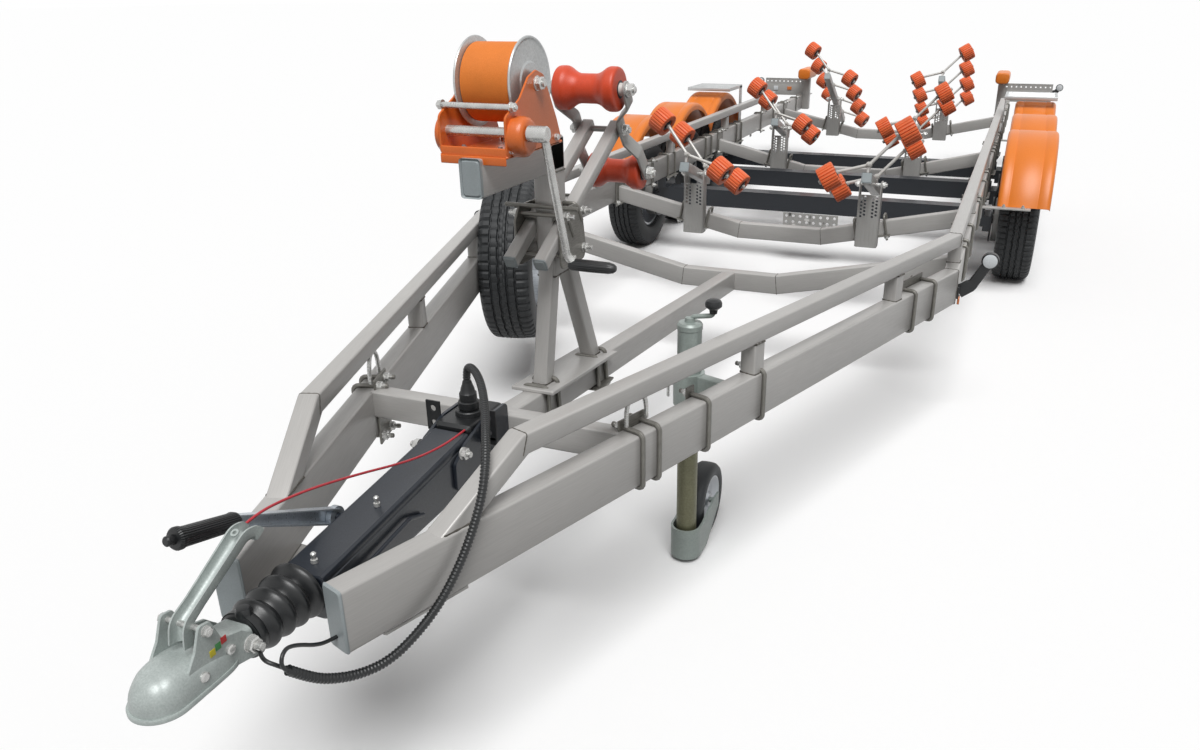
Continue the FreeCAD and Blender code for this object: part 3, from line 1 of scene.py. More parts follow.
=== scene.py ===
"""Boat trailer: the visible surfaces and finishes of a tri-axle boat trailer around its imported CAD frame.

All lengths are in metres in the trailer's own frame: the nose points to -Y, the rear to +Y and +Z is up. The
side at +X is called right. "back" is a distance behind the front end of the main beams, and "rise" a height
above the beams' top face.
"""

import logging
import math
from dataclasses import dataclass
from enum import Enum
from typing import Callable

import bmesh
import bpy
import numpy as np
from mathutils import Matrix


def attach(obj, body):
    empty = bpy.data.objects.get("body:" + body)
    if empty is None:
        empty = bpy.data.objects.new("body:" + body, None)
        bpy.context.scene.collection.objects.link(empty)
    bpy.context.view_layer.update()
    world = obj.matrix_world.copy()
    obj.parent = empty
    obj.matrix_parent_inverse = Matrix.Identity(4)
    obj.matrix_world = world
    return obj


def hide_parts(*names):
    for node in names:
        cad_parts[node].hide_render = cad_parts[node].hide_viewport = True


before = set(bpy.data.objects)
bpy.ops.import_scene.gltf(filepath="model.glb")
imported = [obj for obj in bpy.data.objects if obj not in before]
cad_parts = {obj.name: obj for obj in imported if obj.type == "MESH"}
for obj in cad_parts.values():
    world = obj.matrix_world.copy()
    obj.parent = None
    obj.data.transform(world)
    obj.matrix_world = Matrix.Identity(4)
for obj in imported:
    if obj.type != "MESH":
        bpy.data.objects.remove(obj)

LOG = logging.getLogger("boat_trailer")
X, Y, Z = np.eye(3)

# Main beams: y of their front end and z of their top face, then half the gap between them at the front and
# behind their bend, and how far back the bend is
FRONT, TOP = -3.970, 0.588
BEAM_GAP, BEAM_REAR_GAP, BEND_BACK = 0.090, 0.882, 2.355
SLOPE = math.atan2(BEAM_REAR_GAP - BEAM_GAP, BEND_BACK)
ALONG_SLOPE = np.array([math.sin(SLOPE), math.cos(SLOPE), 0.0])
ACROSS_SLOPE = np.array([math.cos(SLOPE), -math.sin(SLOPE), 0.0])

# Road wheels: their distance from the middle plane, how far back the first stands, their pitch and their
# height
HALF_TRACK, FIRST_HUB, HUB_PITCH, HUB_RISE = 1.115, 4.495, 0.740, 0.314 - TOP

# Boss of the spare wheel on the left beam
SPARE_BACK, SPARE_RISE = 2.100, -0.057


def at(x: float, back: float, rise: float) -> np.ndarray:
    """A point of the trailer's frame from its offset, distance back and rise."""
    return np.array([x, back + FRONT, rise + TOP])


def slope_x(back: float) -> float:
    """Where the beam's inner face stands on the sloping drawbar."""
    return BEAM_GAP + math.tan(SLOPE) * back


def unit(vectors: np.ndarray) -> np.ndarray:
    """Vectors of length one along the last axis."""
    return vectors / np.linalg.norm(vectors, axis=-1, keepdims=True)


# Surfaces


@dataclass
class Surface:
    """Points and faces of a shape.

    Args:
        points: One row per point.
        loops: The corners of all faces in a row, as point numbers.
        sizes: How many corners each face has.
        grain: Each point's place on its own piece: along it, then two ways across it.
    """

    points: np.ndarray
    loops: np.ndarray
    sizes: np.ndarray
    grain: np.ndarray

    def moved(self, shift: np.ndarray) -> "Surface":
        """The shape at another place."""
        return Surface(self.points + shift, self.loops, self.sizes, self.grain)

    def turned(self, matrix: np.ndarray) -> "Surface":
        """The shape turned about the origin by a matrix whose columns are the new axes."""
        return Surface(self.points @ matrix.T, self.loops, self.sizes, self.grain)

    def mirrored(self) -> "Surface":
        """The same shape on the other side of the trailer, with its faces turned to look outwards again."""
        return Surface(self.points * (-1, 1, 1), self.loops[::-1], self.sizes[::-1], self.grain)


def gather(shapes: list[Surface]) -> Surface:
    """Several shapes as one list of points and faces."""
    starts = np.cumsum([0] + [len(shape.points) for shape in shapes[:-1]])
    return Surface(
        np.concatenate([shape.points for shape in shapes]),
        np.concatenate([shape.loops + start for shape, start in zip(shapes, starts)]),
        np.concatenate([shape.sizes for shape in shapes]),
        np.concatenate([shape.grain for shape in shapes]),
    )


def both_sides(shapes: list[Surface]) -> list[Surface]:
    """Shapes of the right side and the same on the left."""
    return shapes + [shape.mirrored() for shape in shapes]


def grid(points: np.ndarray, grain: np.ndarray | None = None, wrap_rows: bool = False,
         wrap_columns: bool = True, caps: bool = False) -> Surface:
    """Faces over a grid of points, which is a function of two parameters.

    Args:
        points: Array of rows by columns by 3.
        grain: Array of the same shape, or none to take the points themselves.
        wrap_rows: Joins the last row to the first.
        wrap_columns: Joins the last column to the first.
        caps: Closes the first and the last row with one face each.
    """
    rows, columns = points.shape[:2]
    index = np.arange(rows * columns).reshape(rows, columns)
    if wrap_rows:
        index = np.vstack([index, index[:1]])
    if wrap_columns:
        index = np.hstack([index, index[:, :1]])
    quads = np.stack([index[:-1, :-1], index[:-1, 1:], index[1:, 1:], index[1:, :-1]], axis=-1).reshape(-1, 4)
    loops, sizes = [quads.ravel()], [np.full(len(quads), 4)]
    if caps:
        loops += [np.arange(columns)[::-1], np.arange(columns) + (rows - 1) * columns]
        sizes.append(np.array([columns, columns]))
    flat = points.reshape(-1, 3)
    grain = flat if grain is None else grain.reshape(-1, 3)
    return Surface(flat, np.concatenate(loops), np.concatenate(sizes), grain)


def rounded_rectangle(width: float, height: float, radius: float, steps: int = 3) -> np.ndarray:
    """A rectangle about the origin whose corners are quarter circles, anticlockwise."""
    angle = np.linspace(0, math.pi / 2, steps + 1)[None, :] + (np.arange(4) * math.pi / 2)[:, None]
    centre = np.array([(1, 1), (-1, 1), (-1, -1), (1, -1)]) * (width / 2 - radius, height / 2 - radius)
    return (centre[:, None] + radius * np.stack([np.cos(angle), np.sin(angle)], axis=-1)).reshape(-1, 2)


def circle(radius: float, steps: int = 16) -> np.ndarray:
    """Points evenly round a circle about the origin."""
    angle = np.arange(steps) * 2 * math.pi / steps
    return radius * np.stack([np.cos(angle), np.sin(angle)], axis=-1)


def inset(outline: np.ndarray, depth: float) -> np.ndarray:
    """A closed anticlockwise outline moved inwards, each corner along the sum of its edges' inner normals."""
    edge = unit(np.roll(outline, -1, axis=0) - outline)
    normal = np.stack([-edge[:, 1], edge[:, 0]], axis=-1)
    pair = normal + np.roll(normal, 1, axis=0)
    return outline + depth * pair / np.maximum((pair * normal).sum(-1, keepdims=True), 0.35)


def rounded(corners: list, radius: float, steps: int = 6) -> np.ndarray:
    """An open line whose inner corners are arcs, each no longer than its runs allow.

    Args:
        corners: The points of the line, in two or three dimensions.
        radius: Radius of the arcs.
        steps: How many pieces each arc has.
    """
    corners = np.asarray(corners, float)
    line = [corners[:1]]
    for before, corner, after in zip(corners, corners[1:], corners[2:]):
        come, leave = unit(before - corner), unit(after - corner)
        half = math.acos(max(-1.0, min(1.0, float(come @ leave)))) / 2
        reach = min(radius / math.tan(half), 0.49 * np.linalg.norm(before - corner),
                    0.49 * np.linalg.norm(after - corner))
        t = np.linspace(0, 1, steps + 1)[:, None]
        first, last, middle = corner + come * reach, corner + leave * reach, unit(come + leave)
        bend = reach * math.tan(half)
        centre = corner + middle * bend / math.sin(half)
        sweep = unit((first - centre) * (1 - t) + (last - centre) * t)
        line.append(centre + sweep * bend)
    return np.concatenate(line + [corners[-1:]])


def rounded_polygon(corners: list, radius: float, steps: int = 5) -> np.ndarray:
    """A closed outline whose corners are arcs."""
    corners = np.asarray(corners, float)
    middle = (corners[0] + corners[-1]) / 2
    return rounded([middle, *corners, middle], radius, steps)[:-1]


def sweep(path: np.ndarray, profile: np.ndarray, up: np.ndarray = Z, ends: tuple = (None, None),
          loop: bool = False, scale: np.ndarray | None = None) -> Surface:
    """Carries a closed profile along a path and mitres it at each corner.

    A ring is the profile laid out square to the run before it and slid along that run onto the plane that
    halves the corner.

    Args:
        path: Points of the path.
        profile: Offsets across the path: to the right of it, and along "up".
        up: A direction that is nowhere along the path.
        ends: Normals of the cuts at the two ends, where they aren't square.
        loop: Joins the end of the path to its start.
        scale: A factor for the profile at each point of the path.
    """
    path = np.asarray(path, float)
    way = unit(np.diff(path, axis=0) if not loop else np.roll(path, -1, axis=0) - path)
    count = len(path)
    before = np.roll(way, 1, axis=0) if loop else way[np.r_[0, np.arange(count - 1)]]
    after = way if loop else way[np.r_[np.arange(count - 1), count - 2]]
    normal = unit(before + after)
    for end, cut in zip((0, -1), ends):
        if cut is not None:
            normal[end] = unit(np.asarray(cut, float))
    side = unit(np.cross(before, up))
    rise = np.cross(side, before)
    size = np.ones(count) if scale is None else np.asarray(scale, float)
    flat = profile[None] * size[:, None, None]
    offset = flat[..., :1] * side[:, None] + flat[..., 1:] * rise[:, None]
    slide = -(offset @ normal[..., None])[..., 0] / (before * normal).sum(-1)[:, None]
    points = path[:, None] + offset + slide[..., None] * before[:, None]
    length = np.r_[0, np.cumsum(np.linalg.norm(np.diff(path, axis=0), axis=-1))]
    grain = np.concatenate([np.broadcast_to(length[:, None, None], flat.shape[:2] + (1,)), flat], axis=-1)
    return grid(points, grain, wrap_rows=loop, caps=not loop)


def bar(start: np.ndarray, end: np.ndarray, width: float, height: float, corner: float = 0.003,
        up: np.ndarray = Z, bevel: float | None = None) -> Surface:
    """A straight bar whose edges are rounded on its sides and chamfered at its ends.

    Args:
        start: Middle of one end.
        end: Middle of the other end.
        width: Size across "up".
        height: Size along "up".
        corner: Radius of the edges along the bar.
        up: The way its height points.
        bevel: Chamfer at the ends, the corner radius if none.
    """
    chamfer = corner if bevel is None else bevel
    start, end = np.asarray(start, float), np.asarray(end, float)
    way = unit(end - start)
    side = unit(np.cross(way, up))
    rise = np.cross(side, way)
    full = rounded_rectangle(width, height, corner)
    small = full * ((width - 2 * chamfer) / width, (height - 2 * chamfer) / height)
    length = np.linalg.norm(end - start)
    stations = ((0, small), (chamfer, full), (length - chamfer, full), (length, small))
    flat = np.stack([ring for _, ring in stations])
    reach = np.array([station for station, _ in stations])
    points = start + reach[:, None, None] * way + flat[..., :1] * side + flat[..., 1:] * rise
    grain = np.concatenate([np.broadcast_to(reach[:, None, None], flat.shape[:2] + (1,)), flat], axis=-1)
    return grid(points, grain, caps=True)


def frame_of(axis: np.ndarray) -> tuple[np.ndarray, np.ndarray]:
    """Two directions square to an axis and to each other."""
    first = unit(np.cross(axis, Z if abs(axis[2]) < 0.9 else X))
    return first, np.cross(axis, first)


def lathe(profile: list, centre: np.ndarray, axis: np.ndarray, steps: int = 32, loop: bool = False,
          ripple: np.ndarray | None = None) -> Surface:
    """A profile turned about an axis: at angle a it is centre + along * axis + radius * (cos a, sin a).

    Args:
        profile: (along, radius) pairs, from one end to the other.
        centre: A point of the axis.
        axis: The axis' direction.
        steps: Faces round the axis.
        loop: Joins the profile's end to its start, for a ring with a hole.
        ripple: A factor for the radius at each angle.
    """
    profile = np.asarray(profile, float)
    axis = unit(np.asarray(axis, float))
    first, second = frame_of(axis)
    angle = np.arange(steps) * 2 * math.pi / steps
    ring = np.cos(angle)[:, None] * first + np.sin(angle)[:, None] * second
    radius = profile[:, 1, None] * (np.ones(steps) if ripple is None else ripple)[None]
    points = np.asarray(centre) + profile[:, None, :1] * axis + radius[..., None] * ring[None]
    turn = np.broadcast_to(angle, radius.shape) * profile[:, 1, None]
    grain = np.stack([turn, radius, np.broadcast_to(profile[:, :1], radius.shape)], axis=-1)
    return grid(points, grain, wrap_rows=loop, caps=not loop)


def pin(centre: np.ndarray, axis: np.ndarray, half: float, radius: float, steps: int = 20) -> Surface:
    """A plain round pin, given by its middle and half its length."""
    return lathe([(-half, 0.0), (-half, radius), (half, radius), (half, 0.0)], centre, axis, steps)


def round_points(along: np.ndarray, radius: np.ndarray, angle: np.ndarray, centre: np.ndarray,
                 axis: np.ndarray) -> np.ndarray:
    """Points at a distance along an axis, a distance from it and an angle round it."""
    first, second = frame_of(axis)
    return (np.asarray(centre) + np.asarray(along)[..., None] * axis
            + (radius * np.cos(angle))[..., None] * first + (radius * np.sin(angle))[..., None] * second)


def round_surface(along: np.ndarray, radius: np.ndarray, angle: np.ndarray, centre: np.ndarray,
                  axis: np.ndarray, loop: bool = False) -> Surface:
    """A round shape whose radius is a function of the angle and of the way along its profile."""
    points = round_points(along, radius, angle, centre, axis)
    grain = np.stack(np.broadcast_arrays(angle * radius, radius, along), axis=-1)
    return grid(points, grain, wrap_rows=loop, caps=not loop)


def smooth(points: list, rounds: int = 3) -> np.ndarray:
    """A corner-cut curve through a control line: each round replaces a run by its points at 1/4 and 3/4."""
    line = np.asarray(points, float)
    for _ in range(rounds):
        near, far = 0.75 * line[:-1] + 0.25 * line[1:], 0.25 * line[:-1] + 0.75 * line[1:]
        line = np.concatenate([line[:1], np.stack([near, far], axis=1).reshape(-1, line.shape[1]), line[-1:]])
    return line


def pierced(place: Callable, hole: float, low: float, high: float, size: tuple[float, float]) -> Surface:
    """A square tile with a round hole right through it, as a closed shell.

    Each ring runs from the hole to the square's edge: a point at angle a lies at (cos a, sin a) times the
    hole's radius, or times 1 / max(|cos a|, |sin a|) on the edge.

    Args:
        place: Puts tile coordinates from -1 to 1 and a depth into space.
        hole: Radius of the hole in the shorter tile unit.
        low: Depth of the one face.
        high: Depth of the other face.
        size: Real half width and half height of the tile, so that the hole comes out round.
    """
    way = circle(1.0)
    shorter = min(size)
    inner = way * hole * (shorter / size[0], shorter / size[1])
    outer = way / np.abs(way).max(axis=-1, keepdims=True)
    flat = np.stack([inner, outer, outer, inner])
    depth = np.broadcast_to(np.array([low, low, high, high])[:, None], flat.shape[:2])
    points = place(flat, depth)
    grain = np.concatenate([flat * size, depth[..., None]], axis=-1)
    return grid(points, grain, wrap_rows=True)


def tile(middle: np.ndarray, hole: float, thick: float, size: tuple[float, float]) -> Surface:
    """A pierced tile that stands across the trailer.

    Args:
        middle: Middle of the face that looks to the nose.
        hole: Radius of the hole in the shorter tile unit.
        thick: Thickness.
        size: Half width and half height.
    """
    def place(flat: np.ndarray, depth: np.ndarray) -> np.ndarray:
        """Tile coordinates as a point of the tile."""
        return middle + flat[..., :1] * size[0] * X + flat[..., 1:] * size[1] * Z + depth[..., None] * Y

    return pierced(place, hole, 0.0, thick, size)


def plate(outline: np.ndarray, thick: float, origin: np.ndarray, right: np.ndarray, up: np.ndarray,
          bevel: float = 0.001) -> Surface:
    """A flat plate from its outline, with chamfered rims, centred on its own plane.

    Args:
        outline: (right, up) pairs, anticlockwise.
        thick: Thickness.
        origin: Where the outline's own origin lies.
        right: First direction of the outline.
        up: Second direction of the outline.
        bevel: Chamfer of the rims.
    """
    outline = np.asarray(outline, float)
    normal = np.cross(right, up)
    small = inset(outline, bevel)
    flat = np.stack([small, outline, outline, small])
    depth = np.array([-thick / 2, bevel - thick / 2, thick / 2 - bevel, thick / 2])
    points = origin + flat[..., :1] * right + flat[..., 1:] * up + depth[:, None, None] * normal
    grain = np.concatenate([flat, np.broadcast_to(depth[:, None, None], flat.shape[:2] + (1,))], axis=-1)
    return grid(points, grain, caps=True)


def round_bar(path: np.ndarray, radius: float, up: np.ndarray, steps: int = 12) -> Surface:
    """A round bar along a path in one plane, whose normal is "up", with slightly rounded ends."""
    path = np.asarray(path, float)
    tip = min(radius * 0.3, 0.002)
    first, last = unit(path[1] - path[0]), unit(path[-2] - path[-1])
    line = np.concatenate([path[:1], path[:1] + first * tip, path[1:-1], path[-1:] + last * tip, path[-1:]])
    scale = np.ones(len(line))
    scale[[0, -1]] = 0.75
    return sweep(line, circle(radius, steps), up, scale=scale)


def hexagon(centre: np.ndarray, axis: np.ndarray, across: float, thick: float) -> Surface:
    """A hexagonal nut or bolt head that stands on a face, its outer rim chamfered."""
    corner = across / math.sqrt(3)
    return lathe([(0, corner), (thick * 0.8, corner), (thick, corner * 0.85)], centre, axis, steps=6)


def bolt(centre: np.ndarray, axis: np.ndarray, thread: float, stand: float = 0.006) -> list[Surface]:
    """A washer, a nut and the end of the thread, standing on a face.

    Args:
        centre: Point of the face.
        axis: The way out of the face.
        thread: Thread diameter; the nut and washer follow from it.
        stand: How far the thread's end stands past the nut.
    """
    axis = unit(np.asarray(axis, float))
    washer, nut = thread * 0.2, thread * 0.8
    return [
        lathe([(-0.0005, thread), (washer * 0.8, thread), (washer, thread * 0.96)], centre, axis, steps=20),
        hexagon(centre + washer * axis, axis, thread * 1.65, nut),
        lathe([(0, thread / 2), (nut + stand - 0.001, thread / 2), (nut + stand, thread * 0.4)],
              centre + washer * axis, axis, steps=12),
    ]


# Finishes


def linear(code: str) -> tuple[float, float, float, float]:
    """An sRGB hex colour as linear light: a small channel / 12.92, any other ((c + 0.055) / 1.055)^2.4."""
    channels = [int(code[index:index + 2], 16) / 255 for index in (1, 3, 5)]
    return (*(c / 12.92 if c <= 0.04045 else ((c + 0.055) / 1.055) ** 2.4 for c in channels), 1.0)


def add(tree: bpy.types.NodeTree, kind: str, settings: dict | None = None, **inputs) -> bpy.types.Node:
    """Adds one node.

    Args:
        tree: The material's nodes.
        kind: Blender's name for the node.
        settings: The node's own properties.
        inputs: Its sockets by name, spaces written as underscores; a socket of another node is linked.
    """
    node = tree.nodes.new(kind)
    for name, value in (settings or {}).items():
        setattr(node, name, value)
    for name, value in inputs.items():
        socket = node.inputs[int(name[1:])] if name[0] == "_" else node.inputs[name.replace("_", " ")]
        if isinstance(value, bpy.types.NodeSocket):
            tree.links.new(value, socket)
        else:
            socket.default_value = value
    return node


def seen_rays(tree: bpy.types.NodeTree) -> bpy.types.NodeSocket:
    """A value that is 1 for rays from the camera, off shiny surfaces and through clear ones, and 0 for the
    light that falls on the trailer."""
    path = add(tree, "ShaderNodeLightPath").outputs
    seen = add(tree, "ShaderNodeMath", {"operation": "MAXIMUM"}, _0=path["Is Camera Ray"],
               _1=path["Is Glossy Ray"])
    return add(tree, "ShaderNodeMath", {"operation": "MAXIMUM"}, _0=seen.outputs[0],
               _1=path["Is Transmission Ray"]).outputs[0]


class Place(Enum):
    """Where a pattern takes its coordinates from."""

    OBJECT = "object"
    GRAIN = "grain"


@dataclass(frozen=True)
class Finish:
    """A procedural finish of one real material.

    Args:
        name: The material and how its surface was made.
        tone: Main colour.
        second: Colour that the pattern mixes in.
        metallic: 1 for bare metal.
        rough: Roughness where the pattern is low and where it is high.
        cell_mm: Size of the pattern's cells: along the piece and the two ways across it.
        bump_mm: Height of the pattern.
        place: Where the pattern takes its coordinates from.
        stain: How much a broad cloud of dirt or wear darkens the colour.
        stain_mm: Size of that cloud.
        coat: Weight of a clear coat.
        sheen: Weight of a cloth's sheen.
    """

    name: str
    tone: str
    second: str
    metallic: float = 0.0
    rough: tuple[float, float] = (0.4, 0.55)
    cell_mm: tuple[float, float, float] = (2.0, 2.0, 2.0)
    bump_mm: float = 0.05
    place: Place = Place.OBJECT
    stain: float = 0.15
    stain_mm: float = 160.0
    coat: float = 0.0
    sheen: float = 0.0

    def build(self) -> bpy.types.Material:
        """The finish as a Blender material: noise of the pattern's size mixes the two colours, sets the
        roughness and lifts the surface, and a broad cloud darkens it."""
        found = bpy.data.materials.get(self.name)
        if found:
            return found
        material = bpy.data.materials.new(self.name)
        material.use_nodes = True
        tree = material.node_tree
        tree.nodes.clear()
        if self.place is Place.GRAIN:
            spot = add(tree, "ShaderNodeAttribute", {"attribute_name": "grain"}).outputs["Vector"]
        else:
            spot = add(tree, "ShaderNodeTexCoord").outputs["Object"]
        scale = tuple(1000 / size for size in self.cell_mm)
        fine = add(tree, "ShaderNodeMapping", Vector=spot, Scale=scale)
        pattern = add(tree, "ShaderNodeTexNoise", Vector=fine.outputs[0], Scale=1.0, Detail=3.0,
                      Roughness=0.6)
        world = add(tree, "ShaderNodeTexCoord").outputs["Object"]
        cloud = add(tree, "ShaderNodeTexNoise", Vector=world, Scale=1000 / self.stain_mm, Detail=4.0,
                    Roughness=0.55)
        sharp = add(tree, "ShaderNodeMapRange", Value=pattern.outputs["Fac"], From_Min=0.3, From_Max=0.7)
        colour = add(tree, "ShaderNodeMix", {"data_type": "RGBA"}, _0=sharp.outputs[0], _6=linear(self.tone),
                     _7=linear(self.second))
        dirt = add(tree, "ShaderNodeMapRange", Value=cloud.outputs["Fac"], From_Min=0.35, From_Max=0.75,
                   To_Min=1.0, To_Max=1.0 - self.stain)
        worn = add(tree, "ShaderNodeMix", {"data_type": "RGBA", "blend_type": "MULTIPLY"}, _0=1.0,
                   _6=colour.outputs[2], _7=dirt.outputs[0])
        rough = add(tree, "ShaderNodeMapRange", Value=sharp.outputs[0], To_Min=self.rough[0],
                    To_Max=self.rough[1])
        bump = add(tree, "ShaderNodeBump", Height=pattern.outputs["Fac"], Distance=self.bump_mm / 1000,
                   Strength=1.0)
        shader = add(tree, "ShaderNodeBsdfPrincipled", Base_Color=worn.outputs[2], Metallic=self.metallic,
                     Roughness=rough.outputs[0], Normal=bump.outputs[0])
        shader.inputs["Coat Weight"].default_value = self.coat
        shader.inputs["Sheen Weight"].default_value = self.sheen
        add(tree, "ShaderNodeOutputMaterial", Surface=shader.outputs[0])
        return material


# Stainless tube, cold drawn and brushed lengthwise: fine streaks along each tube
STAINLESS = Finish("brushed_stainless_tube", "#BEBCB9", "#B4B2AF", 0.12, (0.3, 0.42), (60, 1.6, 1.6), 0.008,
                   Place.GRAIN, 0.12, 420)
# Stainless plate, rolled and pickled: an even dull grey
PLATE = Finish("pickled_stainless_plate", "#B6B5B2", "#AAA9A6", 0.12, (0.36, 0.48), (30, 2.5, 2.5), 0.01,
               Place.GRAIN, 0.14, 160)
# Hot-dip galvanised pressing: pale grey with faint crystals of a few millimetres
GALVANISED = Finish("hot_dip_galvanised_pressing", "#C0C8C5", "#ABB4B1", 0.12, (0.32, 0.46), (3, 3, 3), 0.03,
                    Place.OBJECT, 0.2, 40)
# Zinc plated tube: slightly green dull grey with hardly any pattern
ZINC = Finish("zinc_plated_tube", "#A4AEA9", "#98A29D", 0.15, (0.32, 0.42), (5, 5, 5), 0.01, Place.OBJECT,
              0.16, 90)
# Jockey wheel's leg: the zinc tube's colour painted darker and more olive, as painted shade below the beam
OLIVE = Finish("olive_chromated_tube", "#7D7C62", "#6F6E56", 0.4, (0.34, 0.46), (6, 6, 6), 0.01, Place.OBJECT,
               0.2, 80)
# Bright zinc sheet of the handbrake lever
BRIGHT_SHEET = Finish("bright_zinc_sheet", "#C6CCD2", "#B2B9C0", 0.7, (0.26, 0.36), (4, 4, 4), 0.01,
                      Place.OBJECT, 0.15, 60)
# Pickled stainless rods, pins and nuts of the cradles: pale and even
ROD = Finish("pickled_stainless_rod", "#CFCDC9", "#BFBDB8", 0.2, (0.3, 0.42), (20, 2, 2), 0.01, Place.OBJECT,
             0.14, 60)
# Grey rubber of the jockey wheel's tyre
GREY_RUBBER = Finish("moulded_grey_rubber", "#2E3133", "#26292B", 0.0, (0.5, 0.62), (2, 2, 2), 0.05,
                     Place.OBJECT, 0.2, 40)
# Screen-printed wear marks
YELLOW_INK = Finish("yellow_screen_ink", "#E3D22E", "#D6C524", 0.0, (0.4, 0.5), (1, 1, 1), 0.0, Place.OBJECT,
                    0.1, 10)
GREEN_INK = Finish("green_screen_ink", "#3E8E4A", "#368242", 0.0, (0.4, 0.5), (1, 1, 1), 0.0, Place.OBJECT,
                   0.1, 10)
RED_INK = Finish("red_screen_ink", "#CF3434", "#C22C2C", 0.0, (0.4, 0.5), (1, 1, 1), 0.0, Place.OBJECT, 0.1,
                 10)
# Bright zinc fasteners
BRIGHT = Finish("bright_zinc_fastener", "#D0D0CE", "#C6C6C3", 0.6, (0.22, 0.32), (8, 8, 8), 0.004,
                Place.OBJECT, 0.2, 30)
# Drum flanges: zinc plated sheet with a pale even shine
FLANGE = Finish("zinc_plated_sheet", "#C9CBCB", "#B4B7B7", 0.55, (0.3, 0.42), (4, 4, 4), 0.01, Place.OBJECT,
                0.12, 70)
# Heat-tinted weld: dull brown-grey beads
WELD = Finish("heat_tinted_weld", "#6B675F", "#4A4742", 0.5, (0.4, 0.55), (3, 3, 3), 0.08, Place.OBJECT, 0.3,
              20)
# Dark round bar of the U-bolts, pickled stainless
DARK_BAR = Finish("pickled_round_bar", "#86847E", "#6E6C67", 0.4, (0.36, 0.5), (20, 2, 2), 0.03, Place.GRAIN,
                  0.2, 60)
# Powder coat: dark blue-black satin with fine orange peel
NAVY = Finish("navy_powder_coat", "#20262F", "#181D25", 0.0, (0.34, 0.44), (2.5, 2.5, 2.5), 0.04,
              Place.OBJECT, 0.15, 120, 0.15)
# Axle tube paint: nearly black blue
AXLE = Finish("axle_enamel", "#161C24", "#10151C", 0.0, (0.36, 0.5), (3, 3, 3), 0.04, Place.OBJECT, 0.2, 200,
              0.1)
# Orange powder coat of the winch
WINCH_ORANGE = Finish("orange_powder_coat", "#E8762F", "#DE6A24", 0.0, (0.34, 0.44), (2.2, 2.2, 2.2), 0.05,
                      Place.OBJECT, 0.1, 80, 0.15)
# Moulded polyethylene of the mudguards and guide pads: warm orange with a soft shine
GUARD = Finish("orange_moulded_polyethylene", "#EA8228", "#E47A20", 0.0, (0.34, 0.42), (4, 4, 4), 0.02,
               Place.OBJECT, 0.08, 260)
# Polyurethane hull roller: orange-red rubber with a fine moulding skin
ROLLER = Finish("orange_polyurethane_rubber", "#F07544", "#E66A38", 0.0, (0.45, 0.58), (3, 3, 3), 0.04,
                Place.OBJECT, 0.16, 70)
# Bow roller: redder polyurethane with a smooth skin
BOW_ROLLER = Finish("red_polyurethane_rubber", "#DE4E2A", "#D24622", 0.0, (0.36, 0.48), (3, 3, 3), 0.03,
                    Place.OBJECT, 0.14, 60)
# Strap: woven polyester webbing
WEBBING = Finish("orange_polyester_webbing", "#F08A38", "#E07A2A", 0.0, (0.6, 0.75), (1.6, 1.6, 1.6), 0.2,
                 Place.OBJECT, 0.1, 50)
# Tyre: vulcanised carbon-black rubber
TYRE = Finish("vulcanised_tyre_rubber", "#1D2023", "#161819", 0.0, (0.52, 0.68), (2, 2, 2), 0.06,
              Place.OBJECT, 0.2, 90)
# Bellows and grips: moulded black rubber, slightly glossy
RUBBER = Finish("moulded_black_rubber", "#17191B", "#111314", 0.0, (0.3, 0.42), (2, 2, 2), 0.04, Place.OBJECT,
                0.2, 60)
# Injection-moulded black nylon
NYLON = Finish("moulded_black_nylon", "#151719", "#0F1112", 0.0, (0.36, 0.5), (1.5, 1.5, 1.5), 0.04,
               Place.OBJECT, 0.15, 50)
# White nylon spacers
WHITE_NYLON = Finish("white_nylon", "#DCDCD8", "#CFCFCA", 0.0, (0.35, 0.45), (2, 2, 2), 0.02, Place.OBJECT,
                     0.1, 40)
# Silver paint of the rims
RIM = Finish("silver_wheel_enamel", "#C2C6CA", "#B4B8BD", 0.55, (0.3, 0.4), (1.2, 1.2, 1.2), 0.02,
             Place.OBJECT, 0.12, 120, 0.3)
# End caps: light grey polyethylene
CAP = Finish("grey_polyethylene_cap", "#A4ACAE", "#98A0A2", 0.0, (0.42, 0.52), (2, 2, 2), 0.02, Place.OBJECT,
             0.12, 60)
# Breakaway cable: red PVC over steel
RED_PVC = Finish("red_pvc_sheath", "#C4313E", "#B42733", 0.0, (0.25, 0.35), (2, 2, 2), 0.02, Place.OBJECT,
                 0.1, 60)
# Lamp lenses
RED_LENS = Finish("red_acrylic_lens", "#8E1218", "#7A0D12", 0.0, (0.12, 0.2), (4, 4, 4), 0.05, Place.OBJECT,
                  0.05, 60, 0.4)
AMBER_LENS = Finish("amber_acrylic_lens", "#E07A18", "#C86610", 0.0, (0.12, 0.2), (4, 4, 4), 0.05,
                    Place.OBJECT, 0.05, 60, 0.4)
WHITE_LENS = Finish("clear_acrylic_lens", "#E6EAEC", "#D4DADD", 0.0, (0.1, 0.18), (4, 4, 4), 0.05,
                    Place.OBJECT, 0.05, 60, 0.4)
# Aluminium tread, extruded
ALUMINIUM = Finish("extruded_aluminium", "#C6C8C8", "#B2B4B4", 0.9, (0.28, 0.4), (40, 2, 2), 0.02,
                   Place.GRAIN, 0.15, 90)


